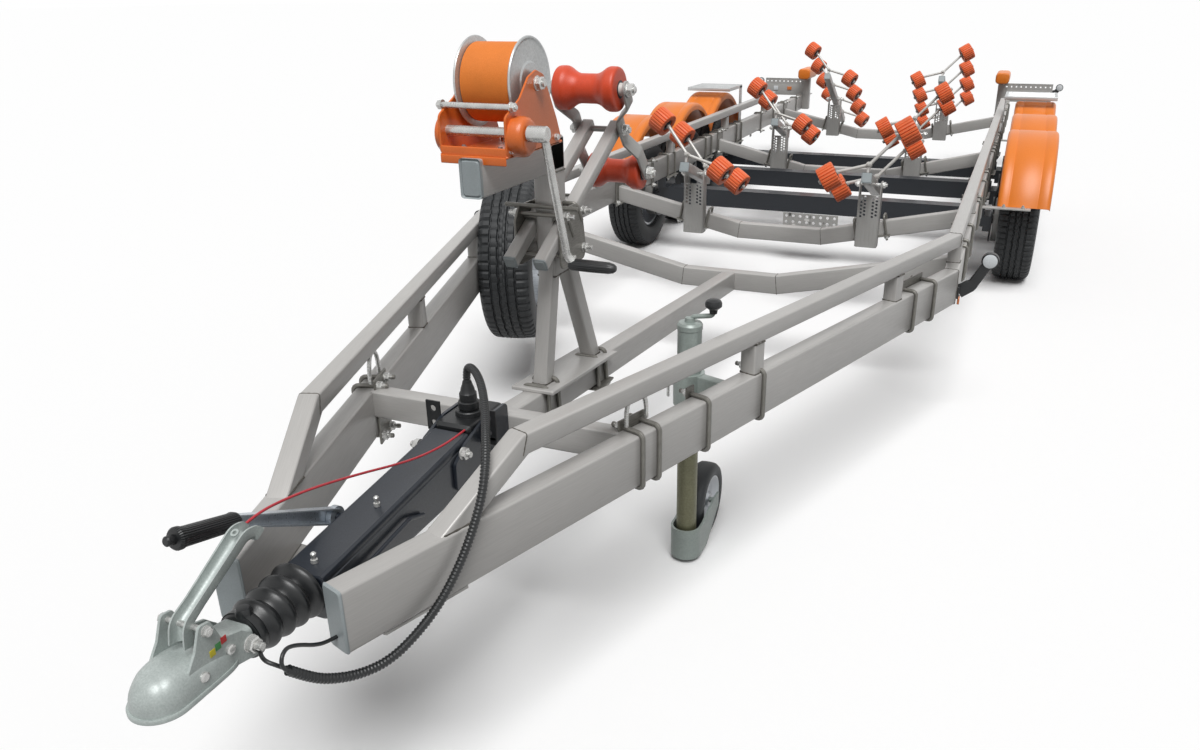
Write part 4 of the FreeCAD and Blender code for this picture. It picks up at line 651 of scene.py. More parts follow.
def make(name: str, shapes: list[Surface], finish: Finish, body: str, replaces: tuple[str, ...] = (),
         angle: float = 32.0, merge: bool = True) -> bpy.types.Object:
    """Makes one visible piece from its surfaces and lets it ride on a body.

    Args:
        name: Name of the piece.
        shapes: Its surfaces, each closed.
        finish: Its finish.
        body: The CAD body that it rides on.
        replaces: CAD nodes that it stands for.
        angle: Edges that turn by more than this many degrees stay sharp.
        merge: Joins points that fall on each other, as at the poles.
    """
    shape = gather(shapes)
    mesh = bpy.data.meshes.new(name)
    mesh.vertices.add(len(shape.points))
    mesh.vertices.foreach_set("co", shape.points.astype(np.float32).ravel())
    mesh.loops.add(len(shape.loops))
    mesh.loops.foreach_set("vertex_index", shape.loops.astype(np.int32))
    mesh.polygons.add(len(shape.sizes))
    mesh.polygons.foreach_set("loop_start", np.r_[0, np.cumsum(shape.sizes)[:-1]].astype(np.int32))
    grain = mesh.attributes.new("grain", "FLOAT_VECTOR", "POINT")
    grain.data.foreach_set("vector", shape.grain.astype(np.float32).ravel())
    mesh.update(calc_edges=True)
    work = bmesh.new()
    work.from_mesh(mesh)
    if merge:
        bmesh.ops.remove_doubles(work, verts=work.verts, dist=1e-6)
    bmesh.ops.recalc_face_normals(work, faces=work.faces)
    work.to_mesh(mesh)
    work.free()
    mesh.polygons.foreach_set("use_smooth", np.ones(len(mesh.polygons), bool))
    mesh.set_sharp_from_angle(angle=math.radians(angle))
    mesh.materials.append(finish.build())
    mesh.validate()
    piece = bpy.data.objects.new(name, mesh)
    bpy.context.scene.collection.objects.link(piece)
    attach(piece, body)
    if replaces:
        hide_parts(*replaces)
    LOG.info("%s: %d faces on %s", name, len(mesh.polygons), body)
    return piece


def dress(node: str, finish: Finish) -> None:
    """Gives a CAD node that keeps its shape its finish."""
    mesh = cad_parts[node].data
    mesh.materials.clear()
    mesh.materials.append(finish.build())
    LOG.info("%s: finish %s", node, finish.name)


# Chassis


@dataclass
class Chassis:
    """Beams, upper rails, the drawbar's ties, the keel beam and the crossmembers."""

    beam: tuple[float, float] = (0.050, 0.125)
    rail: float = 0.045
    rail_rise: float = 0.127
    rail_foot: tuple[float, float] = (0.202, 0.407)
    rail_end: float = 6.998
    corner: float = 0.006
    cross: tuple[float, float] = (0.050, 0.078)
    posts: tuple[float, ...] = (1.160, 1.910, 2.440, 3.300, 4.455, 5.600, 6.700)
    members: tuple[tuple[float, float], ...] = ((2.700, 0.210), (3.590, 0.215), (5.400, 0.278),
                                                (7.340, 0.242))

    def bent_path(self, start: float, end: float, width: float, rise: float) -> list[np.ndarray]:
        """Middle line of a member whose inner face follows the beams' inner face."""
        first = at(slope_x(start), start, rise) + width / 2 * ACROSS_SLOPE
        bend = at(BEAM_REAR_GAP + width / 2, BEND_BACK - width / 2 * math.tan(SLOPE / 2), rise)
        return [first, bend, at(BEAM_REAR_GAP + width / 2, end, rise)]

    def beams(self) -> None:
        """Two bent rectangular tubes with grey end caps, and the boss that carries the spare wheel."""
        width, height = self.beam
        path = self.bent_path(0.004, 8.146, width, -height / 2)
        right = sweep(np.array(path), rounded_rectangle(width, height, self.corner))
        boss = lathe([(0, 0.055), (0.118, 0.055), (0.12, 0.053)],
                     at(-slope_x(SPARE_BACK), SPARE_BACK, SPARE_RISE), ACROSS_SLOPE * (1, -1, 1))
        make("beam_tubes", both_sides([right]) + [boss], STAINLESS, "chassis", ("main_beams",))
        caps = [bar(path[0] - ALONG_SLOPE * 0.004, path[0] + ALONG_SLOPE * 0.004, width + 0.002,
                    height + 0.002, 0.006, bevel=0.003),
                bar(path[2] - Y * 0.004, path[2] + Y * 0.004, width + 0.001, height + 0.001, 0.006,
                    bevel=0.003)]
        make("beam_end_caps", both_sides(caps), CAP, "chassis")

    def rails(self) -> None:
        """Upper rails, whose front feet slope down to the beams, on their posts."""
        size = self.rail
        low = self.rail_rise - size / 2
        start, bend = self.rail_foot
        path = self.bent_path(bend, self.rail_end, size, low)
        foot = at(slope_x(start), start, -0.002) + size / 2 * ACROSS_SLOPE
        lean = math.atan2(self.rail_rise, (bend - start) / math.cos(SLOPE))
        foot = foot + ALONG_SLOPE * (size / 2 / math.sin(lean))
        path[0] = path[0] + ALONG_SLOPE * (size / 2 * math.tan(lean / 2))
        rail = sweep(np.array([foot] + path), rounded_rectangle(size, size, 0.005), ends=(Z, None))
        parts = [rail]
        for back in self.posts:
            slope = back < BEND_BACK
            base = at(slope_x(back) if slope else BEAM_REAR_GAP, back, 0)
            across, along = (ACROSS_SLOPE, ALONG_SLOPE) if slope else (X, Y)
            middle = base + across * size / 2 + along * size / 2
            parts.append(bar(middle - Z * 0.002, middle + Z * (self.rail_rise - size + 0.002), size, size,
                             0.005, up=along, bevel=0.0005))
        make("upper_rails", both_sides(parts), STAINLESS, "chassis", ("top_rails",))
        cap = bar(path[2] - Y * 0.003, path[2] + Y * 0.004, size + 0.001, size + 0.001, 0.005, bevel=0.003)
        make("rail_end_caps", both_sides([cap]), CAP, "chassis")

    def ties(self) -> None:
        """Cross tube, plate under the overrun unit and the keel beam."""
        tie, start, end = 0.7285, 0.062, 0.238
        reach = slope_x(tie) + 0.003
        tube = bar(at(-reach, tie, -0.035), at(reach, tie, -0.035), 0.045, 0.070, 0.005, bevel=0.0005)
        near, far = slope_x(start) + 0.049, slope_x(end) + 0.049
        base = plate(np.array([(-near, start), (near, start), (far, end), (-far, end)]), 0.008,
                     at(0, 0, -0.129), X, Y, 0.001)
        make("drawbar_cross_tube", [tube, base], STAINLESS, "chassis", ("drawbar_ties",))
        keel = sweep(np.array([at(0, 0.751, -0.063), at(0, 2.700, -0.232)]),
                     rounded_rectangle(0.056, 0.0777, 0.005), ends=(Y, Y))
        make("keel_tube", [keel], STAINLESS, "chassis", ("keel_beam",))

    def crossmember(self, back: float, flat: float) -> Surface:
        """One V-shaped member: two rising arms and the flat between them."""
        width, height = self.cross
        flat_top, arm_top = -0.193, -0.046
        lean = math.atan2(arm_top - flat_top, BEAM_REAR_GAP - flat)
        inner = flat - height / 2 * math.tan(lean / 2)
        low, high = flat_top - height / 2, arm_top - height / 2 / math.cos(lean)
        middle = back + width / 2
        path = [at(-BEAM_REAR_GAP, middle, high), at(-inner, middle, low), at(inner, middle, low),
                at(BEAM_REAR_GAP, middle, high)]
        return sweep(np.array(path), rounded_rectangle(width, height, 0.005), ends=(X, X))

    def crossmembers(self) -> None:
        """The four crossmembers."""
        make("cross_tubes", [self.crossmember(*member) for member in self.members], STAINLESS, "chassis",
             ("crossmembers",))

    def dress(self) -> None:
        """Builds every piece of the chassis."""
        self.beams()
        self.rails()
        self.ties()
        self.crossmembers()


# Wheels


@dataclass
class Wheel:
    """A trailer wheel: block tread tyre, pressed steel rim with round holes, and its hub with drum and
    nuts."""

    pitches: int = 60
    holes: int = 12
    nuts: int = 5
    crown: float = 0.3095
    grooves: tuple[float, ...] = (-0.045, -0.0145, 0.0145, 0.045)
    disc: tuple[float, float] = (0.0195, 0.026)
    hole_circle: float = 0.132
    hole_tile: tuple[float, float] = (0.032, 0.024)

    def tyre(self, centre: np.ndarray, axis: np.ndarray) -> Surface:
        """The tyre as a function of the angle and the way across it.

        The profile is a corner-cut curve from bead to crown on each side. On the crown the radius falls by
        four zigzag grooves round the tyre, by a slot at each pitch of the shoulders and by fine cuts in the
        ribs.
        """
        wall = smooth([(0.066, 0.179), (0.066, 0.190), (0.080, 0.196), (0.0945, 0.207), (0.0995, 0.243),
                       (0.0955, 0.286), (0.0835, 0.3045), (0.072, self.crown)], 2)
        across = np.linspace(0.070, -0.070, 57)
        crown = np.stack([across, self.crown + 0.0042 * (1 - (across / 0.07) ** 2)], axis=-1)
        profile = np.concatenate([wall, crown, wall[::-1] * (-1, 1)])
        steps = self.pitches * 4
        turn = np.arange(steps)[None, :]
        a, r = profile[:, :1], profile[:, 1:]
        zigzag = 0.0028 * np.abs((turn / 4.0) % 2 - 1)
        depth = np.zeros((len(profile), steps))
        for middle in self.grooves:
            depth = np.maximum(depth, 0.0075 * (np.abs(a - middle - zigzag + 0.0014) < 0.0034))
        shoulder = (np.abs(a) > 0.049) & (np.abs(a) < 0.090) & (turn % 4 == 0)
        cuts = (np.abs(a) < 0.041) & ((turn + (a > 0) * 2) % 4 == 1) & (np.abs(np.abs(a) - 0.0145) > 0.006)
        depth = np.maximum(depth, 0.0058 * shoulder)
        depth = np.maximum(depth, 0.0030 * cuts)
        band = 0.0009 * ((r > 0.214) & (r < 0.262) & (np.abs(a) > 0.08))
        angle = turn * 2 * math.pi / steps
        return round_surface(a, r - depth - band, angle, centre, axis, loop=True)

    def rim(self, centre: np.ndarray, axis: np.ndarray) -> list[Surface]:
        """Barrel with rolled lips and a disc whose outer ring is pierced by round holes."""
        barrel = [(-0.071, 0.174), (-0.071, 0.188), (-0.0695, 0.191), (-0.067, 0.191), (-0.0655, 0.186),
                  (-0.0655, 0.178), (-0.040, 0.1775), (0.040, 0.1775), (0.0655, 0.178), (0.0655, 0.186),
                  (0.067, 0.191), (0.0695, 0.191), (0.071, 0.188), (0.071, 0.174), (0.060, 0.1735),
                  (-0.060, 0.1735)]
        inner = [(0.0195, 0.046), (0.0195, 0.108), (0.026, 0.108), (0.029, 0.098), (0.030, 0.082),
                 (0.026, 0.070), (0.026, 0.046)]
        outer = [(0.0195, 0.156), (0.017, 0.174), (0.024, 0.174), (0.026, 0.156)]
        step = 2 * math.pi / self.holes

        def polar(flat: np.ndarray, depth: np.ndarray) -> np.ndarray:
            """A flat tile bent round the axis: its first coordinate becomes an angle, its second a radius."""
            radius = self.hole_circle + flat[..., 1] * self.hole_tile[1]
            return round_points(depth, radius, flat[..., 0] * step / 2, centre, axis)

        tiles = [pierced(lambda flat, depth, index=index: polar(flat + (2 * index, 0), depth), 0.42,
                         *self.disc, self.hole_tile) for index in range(self.holes)]
        return [lathe(barrel, centre, axis, 72, loop=True), lathe(inner, centre, axis, 48, loop=True),
                lathe(outer, centre, axis, 72, loop=True)] + tiles

    def hub(self, centre: np.ndarray, axis: np.ndarray) -> list[Surface]:
        """Hub flange with its nuts, grease cap and the brake drum behind the disc."""
        drum = [(-0.126, 0.024), (-0.126, 0.114), (-0.122, 0.118), (-0.100, 0.118), (-0.098, 0.1165),
                (-0.076, 0.1165), (-0.072, 0.112), (-0.072, 0.060), (0.019, 0.050), (0.019, 0.024)]
        cap = [(0.018, 0.045), (0.030, 0.045), (0.034, 0.041), (0.034, 0.031), (0.050, 0.030),
               (0.0545, 0.026), (0.056, 0.018), (0.056, 0.0)]
        first, second = frame_of(axis)
        angle = np.arange(self.nuts) * 2 * math.pi / self.nuts + 0.3
        nuts = [hexagon(centre + 0.026 * axis + 0.057 * (math.cos(a) * first + math.sin(a) * second), axis,
                        0.019, 0.014) for a in angle]
        return [lathe(drum, centre, axis, 48, loop=True), lathe([(0.0, 0.02)] + cap, centre, axis, 32)] + nuts

    def dress(self) -> None:
        """Six road wheels and the spare wheel on the left beam."""
        for index, end in enumerate(("front", "middle", "rear")):
            for side, sign in (("right", 1.0), ("left", -1.0)):
                centre, axis = at(sign * HALF_TRACK, FIRST_HUB + HUB_PITCH * index, HUB_RISE), sign * X
                body = f"wheel_{end}_{side}"
                make(f"road_tyre_{end}_{side}", [self.tyre(centre, axis)], TYRE, body,
                     (f"tyre_{end}_{side}",), 24)
                make(f"road_rim_{end}_{side}", self.rim(centre, axis), RIM, body, (f"rim_{end}_{side}",),
                     30, merge=False)
                make(f"hub_{end}_{side}", self.hub(centre, axis), PLATE, body)
        away = 0.102
        centre = at(away * math.cos(SLOPE) - slope_x(SPARE_BACK), SPARE_BACK + away * math.sin(SLOPE),
                    SPARE_RISE)
        axis = np.array([math.cos(SLOPE), math.sin(SLOPE), 0.0])
        make("spare_road_tyre", [self.tyre(centre, axis)], TYRE, "chassis", ("spare_tyre",),
             24)
        cap = lathe([(0.019, 0.046), (0.034, 0.046), (0.038, 0.040), (0.038, 0.0)], centre, axis, 32)
        make("spare_road_rim", self.rim(centre, axis) + [cap], RIM, "chassis", ("spare_rim",),
             30, merge=False)


# Mudguards


@dataclass
class Mudguards:
    """Triple arches over the wheels, with their stays and the ribbed steps over the rear wheels."""

    radius: float = 0.482
    inner: float = 1.002
    outer: float = 1.252
    lip: float = 0.044
    wall: float = 0.005
    round: float = 0.022
    end_sine: float = 0.94

    def section(self) -> np.ndarray:
        """Closed section at the top of an arch, as (across, radius): the outer skin with two creases, the
        lips and the inner skin."""
        low, high, bevel = self.radius - self.lip, self.radius, self.round
        angle = np.linspace(0, math.pi / 2, 6)
        left = np.stack([self.inner + bevel - bevel * np.cos(angle), high - bevel + bevel * np.sin(angle)],
                        axis=-1)
        right = np.stack([self.outer - bevel + bevel * np.sin(angle), high - bevel + bevel * np.cos(angle)],
                         axis=-1)
        creases = [(x + dx, high - dr) for x in (self.inner + 0.052, self.outer - 0.062)
                   for dx, dr in ((-0.005, 0.0), (-0.0015, 0.0022), (0.0015, 0.0022), (0.005, 0.0))]
        skin = np.concatenate([[(self.inner, low)], left, creases, right, [(self.outer, low)]])
        middle = (self.inner + self.outer) / 2
        within = np.stack([middle + (skin[:, 0] - middle) * (1 - 2 * self.wall / (self.outer - self.inner)),
                           np.where(skin[:, 1] > low + 0.001, skin[:, 1] - self.wall, low)], axis=-1)
        return np.concatenate([skin, within[::-1]])

    def arches(self) -> Surface:
        """Three arches in one skin: a point of the section goes round each hub at its own radius, and turns
        at the angle whose sine is half the wheels' pitch over that radius, where the next arch begins."""
        section = self.section()
        valley = np.arcsin(HUB_PITCH / 2 / section[:, 1])
        edge = np.full(len(section), math.asin(self.end_sine))
        rows = []
        for index, (first, last) in enumerate(((-edge, valley), (-valley, valley), (-valley, edge))):
            t = np.linspace(0, 1, 29)[:, None]
            angle = (first * (1 - t) + last * t)[0 if index == 0 else 1:]
            hub = at(0, FIRST_HUB + HUB_PITCH * index, HUB_RISE)
            rows.append(np.stack([np.broadcast_to(section[:, 0], angle.shape),
                                  hub[1] + section[:, 1] * np.sin(angle),
                                  hub[2] + section[:, 1] * np.cos(angle)], axis=-1))
        return grid(np.concatenate(rows), caps=True)

    def stays(self) -> list[Surface]:
        """Strips from the beam to the front and rear edges, with their bolts."""
        parts = []
        height = HUB_RISE + self.radius * math.sqrt(1 - self.end_sine ** 2)
        width, foot = 0.042, 0.9345
        for hub_back, way in ((FIRST_HUB, -1), (FIRST_HUB + 2 * HUB_PITCH, 1)):
            middle = hub_back + way * self.end_sine * self.radius + way * width / 2
            parts.append(bar(at(0.932, middle, height - 0.004), at(1.162, middle, height - 0.004), width,
                             0.008, 0.0015))
            parts.append(bar(at(foot, middle, height - 0.060), at(foot, middle, height), 0.005, width, 0.0015,
                             up=Y))
            for x in (1.035, 1.125):
                parts += bolt(at(x, middle, height), Z, 0.010)
        return parts

    def step(self) -> list[Surface]:
        """Ribbed tread of the step: a frame with slats across it, on its leg beside the beam."""
        low, high = 0.250, 0.256
        start, end, near, far = 5.810, 6.140, 0.932, 1.252
        half, level = 0.008, high - 0.012
        rim = [at(near + half, start + half, level), at(far - half, start + half, level),
               at(far - half, end - half, level), at(near + half, end - half, level)]
        parts = [sweep(np.array(rim), rounded_rectangle(2 * half, 0.024, 0.003), loop=True)]
        parts += [bar(at(near + 0.014, back, high - 0.009), at(far - 0.014, back, high - 0.009), 0.014, 0.018,
                      0.003)
                  for back in np.linspace(start + 0.034, end - 0.034, 9)]
        leg = 0.935
        parts.append(bar(at(leg, end - 0.030, -0.060), at(leg, end - 0.030, low), 0.006, 0.060, 0.002, up=Y))
        parts.append(bar(at(leg, end - 0.025, low - 0.004), at(1.240, end - 0.025, low - 0.010), 0.040, 0.006,
                         0.002))
        return parts

    def dress(self) -> None:
        """Both sides' arches, stays and steps."""
        make("mudguard_shells", both_sides([self.arches()]), GUARD, "chassis", ("mudguards",),
             40)
        make("mudguard_strips", both_sides(self.stays()), PLATE, "chassis", ("mudguard_stays",))
        make("tread_steps", both_sides(self.step()), ALUMINIUM, "chassis")


# Clamps and welds of the frame


@dataclass
class Fittings:
    """Square-bent U-bolts, clamping plates, welds, eyes and the perforated plate of the frame."""

    rod: float = 0.006
    width: float = 0.050
    height: float = 0.125
    members: tuple[float, ...] = (2.725, 3.615, 5.425, 7.365)
    axles: tuple[float, ...] = (4.420, 5.160, 5.900)

    def side_clamp(self, spot: np.ndarray, across: np.ndarray,
                   offsets: tuple[float, ...]) -> tuple[list[Surface], list[Surface]]:
        """U-bolts round a beam from its outer side, through a plate on the inner side.

        Args:
            spot: Point of the inner face at the beam's top.
            across: Direction from the inner to the outer face.
            offsets: Where the bolts stand along the beam.
        """
        along, r = np.cross(Z, across), self.rod
        bars, nuts = [], []
        for offset in offsets:
            p = spot + along * offset
            inside, outside = -0.034 * across, (self.width + r) * across
            path = rounded([p + inside + r * Z, p + outside + r * Z, p + outside - (self.height + r) * Z,
                            p + inside - (self.height + r) * Z], 0.014, 4)
            bars.append(round_bar(path, r, along, 10))
            for rise in (r, -self.height - r):
                nuts += bolt(p - 0.007 * across + rise * Z, -across, 0.012, 0.008)
        ends = min(offsets) - 0.016, max(offsets) + 0.016
        middle = spot - 0.0035 * across - self.height / 2 * Z
        plates = [bar(middle + along * ends[0], middle + along * ends[1], 0.006, self.height + 0.050, 0.002)]
        return bars + plates, nuts

    def hanging_clamp(self, spot: np.ndarray, across: np.ndarray, offsets: tuple[float, ...], width: float,
                      height: float, up: np.ndarray = Z) -> tuple[list[Surface], list[Surface]]:
        """U-bolts over a tube, through a plate below it.

        Args:
            spot: Middle of the tube's top.
            across: Direction across the tube.
            offsets: Where the bolts stand along the tube.
            width: The tube's width.
            height: From its top to the plate's underside.
            up: The tube's own upward direction.
        """
        along, r = np.cross(up, across), self.rod
        bars, nuts = [], []
        for offset in offsets:
            p = spot + along * offset
            side = (width / 2 + r) * across
            path = rounded([p - side - (height + 0.022) * up, p - side + r * up, p + side + r * up,
                            p + side - (height + 0.022) * up], 0.012, 4)
            bars.append(round_bar(path, r, along, 10))
            for sign in (-1, 1):
                nuts += bolt(p + sign * side - height * up, -up, 0.012, 0.004)
        middle = spot - (height - 0.003) * up
        bars.append(bar(middle + along * (min(offsets) - 0.018), middle + along * (max(offsets) + 0.018),
                        width + 0.044, 0.006, 0.002, up=up))
        return bars, nuts

    def weld(self, centre: np.ndarray, right: np.ndarray, up: np.ndarray, width: float, height: float,
             size: float = 0.0022) -> Surface:
        """A bead round a tube's end: a thin ring carried round the tube's section, swelling and shrinking
        like the stitches of a weld."""
        ring = inset(rounded_rectangle(width, height, 0.006, 4), -0.0002)
        runs = np.concatenate([np.linspace(a, b, 7)[:-1] for a, b in zip(ring, np.roll(ring, -1, axis=0))])
        path = centre + runs[:, :1] * right + runs[:, 1:] * up
        swell = 1 + 0.3 * np.sin(np.arange(len(path)) * 2.4)
        return sweep(path, circle(size, 6), np.cross(right, up), loop=True, scale=swell)

    def clamps(self) -> None:
        """Every U-bolt of the frame with its plate and nuts."""
        bars, nuts = [], []

        def keep(result: tuple[list[Surface], list[Surface]], mirror: bool = True) -> None:
            """Collects bars and nuts, on both sides if wanted."""
            bars.extend(both_sides(result[0]) if mirror else result[0])
            nuts.extend(both_sides(result[1]) if mirror else result[1])

        for back, offsets, mirror in ((0.757, (-0.029, 0.029), True), (0.964, (0.0,), False),
                                      (1.190, (0.0,), False), (SPARE_BACK, (-0.075, 0.075), True)):
            keep(self.side_clamp(at(slope_x(back), back, 0), ACROSS_SLOPE, offsets), mirror)
        for back in self.members:
            keep(self.side_clamp(at(BEAM_REAR_GAP, back, 0), X, (-0.045, 0.045)))
        for back in (3.05, 4.10, 6.55, 6.95, 7.80):
            keep(self.side_clamp(at(BEAM_REAR_GAP, back, 0), X, (0.0,)))
        for back in self.axles:
            keep(self.hanging_clamp(at(BEAM_REAR_GAP + 0.025, back, 0), X, (-0.062, 0.062), self.width,
                                    self.height + 0.008))
        for back in self.members[1:]:
            keep(self.hanging_clamp(at(0.440, back, -0.122), Y, (-0.072, 0.072), 0.050, 0.092,
                                    unit(np.array([-0.22, 0, 1.0]))))
        stand = Stand()
        slope = unit(np.array([0, -stand.fall, 1.0]))
        for back in (0.975, 1.285):
            rise = stand.keel_top(back) + 0.010
            keep(self.hanging_clamp(at(0, back, rise), X, (-0.028, 0.028), 0.056, 0.096, slope), False)
        make("u_bolts", bars, DARK_BAR, "chassis")
        make("u_bolt_nuts", nuts, BRIGHT, "chassis")

    def welds(self) -> None:
        """Beads at the posts, the rails' feet and bends, and the crossmembers' bends."""
        chassis, beads, thin = Chassis(), [], 0.0012
        size, half = chassis.rail, chassis.rail / 2
        for back in chassis.posts:
            if back < BEND_BACK:
                spot = at(slope_x(back), back, 0) + ACROSS_SLOPE * half + ALONG_SLOPE * half
                sides = ACROSS_SLOPE, ALONG_SLOPE
            else:
                spot, sides = at(BEAM_REAR_GAP + half, back + half, 0), (X, Y)
            beads += [self.weld(spot + Z * rise, *sides, size, size) for rise in (0.0, 0.082)]
        foot, knee, level = 0.240, 0.409, 0.1045
        beads.append(self.weld(at(slope_x(foot), foot, 0.0) + ACROSS_SLOPE * half + ALONG_SLOPE * 0.012,
                               ACROSS_SLOPE, ALONG_SLOPE, size, 0.083))
        lean = unit(np.array([0, 0, 1.0]) + 0.31 * ALONG_SLOPE)
        beads.append(self.weld(at(slope_x(knee), knee, level) + ACROSS_SLOPE * half, ACROSS_SLOPE, lean, size,
                               0.0470, thin))
        turn = unit(np.array([math.cos(SLOPE / 2), -math.sin(SLOPE / 2), 0]))
        for out, rise, width, height in ((half, level, 0.0456, size),
                                         (self.width / 2, -self.height / 2, 0.0507, self.height)):
            bend = at(BEAM_REAR_GAP + out, BEND_BACK - out * math.tan(SLOPE / 2), rise)
            beads.append(self.weld(bend, turn, Z, width, height, thin))
        for back, flat in chassis.members:
            lean = math.atan2(0.147, BEAM_REAR_GAP - flat) / 2
            spot = at(flat - 0.039 * math.tan(lean), back + 0.025, -0.232)
            beads.append(self.weld(spot, Y, np.array([-math.sin(lean), 0, math.cos(lean)]), 0.050, 0.0785,
                                   thin))
        make("weld_beads", both_sides(beads), WELD, "chassis", angle=80)

    def eyes(self) -> None:
        """Standing eyes on the beams by the cross tube."""
        bars = []
        back = 0.757
        arch = smooth([(-0.034, 0), (-0.034, 0.040), (-0.022, 0.066), (0, 0.076), (0.022, 0.066),
                       (0.034, 0.040), (0.034, 0)], 2)
        for sign in (1, -1):
            spot = at(sign * (slope_x(back) + 0.010), back, 0.010)
            way = np.array([sign * math.sin(SLOPE), math.cos(SLOPE), 0])
            path = spot + arch[:, :1] * way + arch[:, 1:] * Z
            bars.append(round_bar(path, 0.0055, np.cross(way, Z), 10))
        make("safety_eyes", bars, BRIGHT, "chassis")

    def compensator(self) -> None:
        """Perforated plate that hangs from the first axle: rows of tiles, each with a hole."""
        wide, high, front, top = 0.020, 0.0175, self.axles[0] - 0.054, -0.2925
        tiles = [tile(at((2 * column - 7) * wide, front, top - (2 * row + 1) * high), 0.5, 0.004,
                      (wide, high))
                 for column in range(8) for row in range(3)]
        make("compensator_plate", tiles, PLATE, "chassis")

    def dress(self) -> None:
        """Builds all fittings of the frame."""
        self.compensator()
        self.clamps()
        self.welds()
        self.eyes()


# Winch stand, winch and bow stop


@dataclass
class Stand:
    """Base plate, legs, column and arm of the winch stand, with the twin props."""

    fall: float = 0.0867
    keel: tuple[float, float] = (0.751, -0.024)
    column: float = 1.071
    prop_foot: tuple[float, float] = (0.925, 0.300)
    prop_head: tuple[float, float] = (1.388, 0.560)
    prop_x: float = 0.041
    rods: tuple[tuple[float, float], ...] = ((1.020, 0.300), (1.020, 0.400), (1.122, 0.395), (1.122, 0.300))

    def run(self) -> np.ndarray:
        """The way that the props run, from their feet to the yoke."""
        return unit(np.array([0, self.prop_head[0] - self.prop_foot[0],
                              self.prop_head[1] - self.prop_foot[1]]))

    def keel_top(self, back: float) -> float:
        """Height of the keel tube's top above the beams' top."""
        start, rise = self.keel
        return rise - self.fall * (back - start)

    def tubes(self) -> list[Surface]:
        """The stand's tubes and its base plate."""
        start, end = 0.925, 1.345
        parts = [bar(at(0, start, self.keel_top(start) + 0.005), at(0, end, self.keel_top(end) + 0.005),
                     0.120, 0.010, 0.002)]
        for foot, top in ((0.965, 1.032), (1.262, 1.112)):
            low = self.keel_top(foot + 0.023) + 0.008
            parts.append(sweep(np.array([at(0, foot + 0.023, low), at(0, top + 0.023, 0.275)]),
                               rounded_rectangle(0.045, 0.040, 0.005), X, ends=(Z, Z)))
        parts.append(bar(at(0, self.column, 0.235), at(0, self.column, 0.583), 0.078, 0.050, 0.006, X))
        parts.append(bar(at(0, 0.707, 0.5415), at(0, 1.109, 0.5415), 0.050, 0.083, 0.006))
        run = self.run()
        for x in (self.prop_x, -self.prop_x):
            start, end = at(x, *self.prop_foot), at(x, *self.prop_head) + run * 0.022
            parts.append(bar(start, end, 0.032, 0.032, 0.004, np.cross(X, run)))
        return parts

    def caps(self) -> list[Surface]:
        """Grey caps of the arm and of the props' lower ends."""
        run = self.run()
        parts = [bar(at(0, 0.7045, 0.5415), at(0, 0.7105, 0.5415), 0.052, 0.085, 0.007)]
        for x in (self.prop_x, -self.prop_x):
            start = at(x, *self.prop_foot)
            parts.append(bar(start - run * 0.003, start + run * 0.004, 0.0335, 0.0335, 0.005,
                             np.cross(X, run)))
        return parts

    def clamps(self) -> tuple[list[Surface], list[Surface]]:
        """Dark gussets on the column, threaded rods across it and U-bolts over the props."""
        gusset = rounded_polygon([(-0.070, -0.075), (0.062, -0.075), (0.075, -0.050), (0.060, 0.030),
                                  (0.020, 0.075), (-0.050, 0.075), (-0.075, 0.040)], 0.018)
        dark, nuts = [], []
        run = self.run()
        up = np.cross(X, run)
        for sign in (1, -1):
            dark.append(plate(gusset, 0.006, at(sign * 0.0605, 1.065, 0.345), Y, Z, 0.001))
            for spot in self.rods:
                nuts += bolt(at(sign * 0.0635, *spot), sign * X, 0.012, 0.014)
            middle = at(sign * self.prop_x, 1.075, 0.384) + up * 0.016
            for offset in (-0.030, 0.030):
                p = middle + run * offset
                path = rounded([p + x * X + rise * up for x, rise in ((-0.022, -0.050), (-0.022, 0.006),
                                                                      (0.022, 0.006), (0.022, -0.050))],
                               0.012, 4)
                dark.append(round_bar(path, 0.005, run, 10))
        for spot in self.rods:
            dark.append(bar(at(-0.064, *spot), at(0.064, *spot), 0.011, 0.011, 0.0045))
        dark.append(round_bar(np.array([at(x, 1.020, 0.420) for x in (-0.100, -0.02, 0.100)]), 0.0055, Z, 10))
        return dark, nuts

    def dress(self) -> None:
        """Builds the stand."""
        make("winch_post", self.tubes(), STAINLESS, "chassis", ("winch_stand",))
        make("winch_post_caps", self.caps(), CAP, "chassis")
        dark, nuts = self.clamps()
        make("winch_post_clamps", dark, DARK_BAR, "chassis")
        fittings = Fittings()
        beads = [fittings.weld(at(0, self.column, rise), X, Y, 0.050, 0.078, 0.002)
                 for rise in (0.240, 0.499)]
        for foot in (0.988, 1.285):
            beads.append(fittings.weld(at(0, foot, self.keel_top(foot) + 0.011), X,
                                       unit(np.array([0, 1, -0.087])), 0.040, 0.050))
        make("winch_post_welds", beads, WELD, "chassis", angle=80)
        make("winch_post_nuts", nuts, BRIGHT, "chassis")


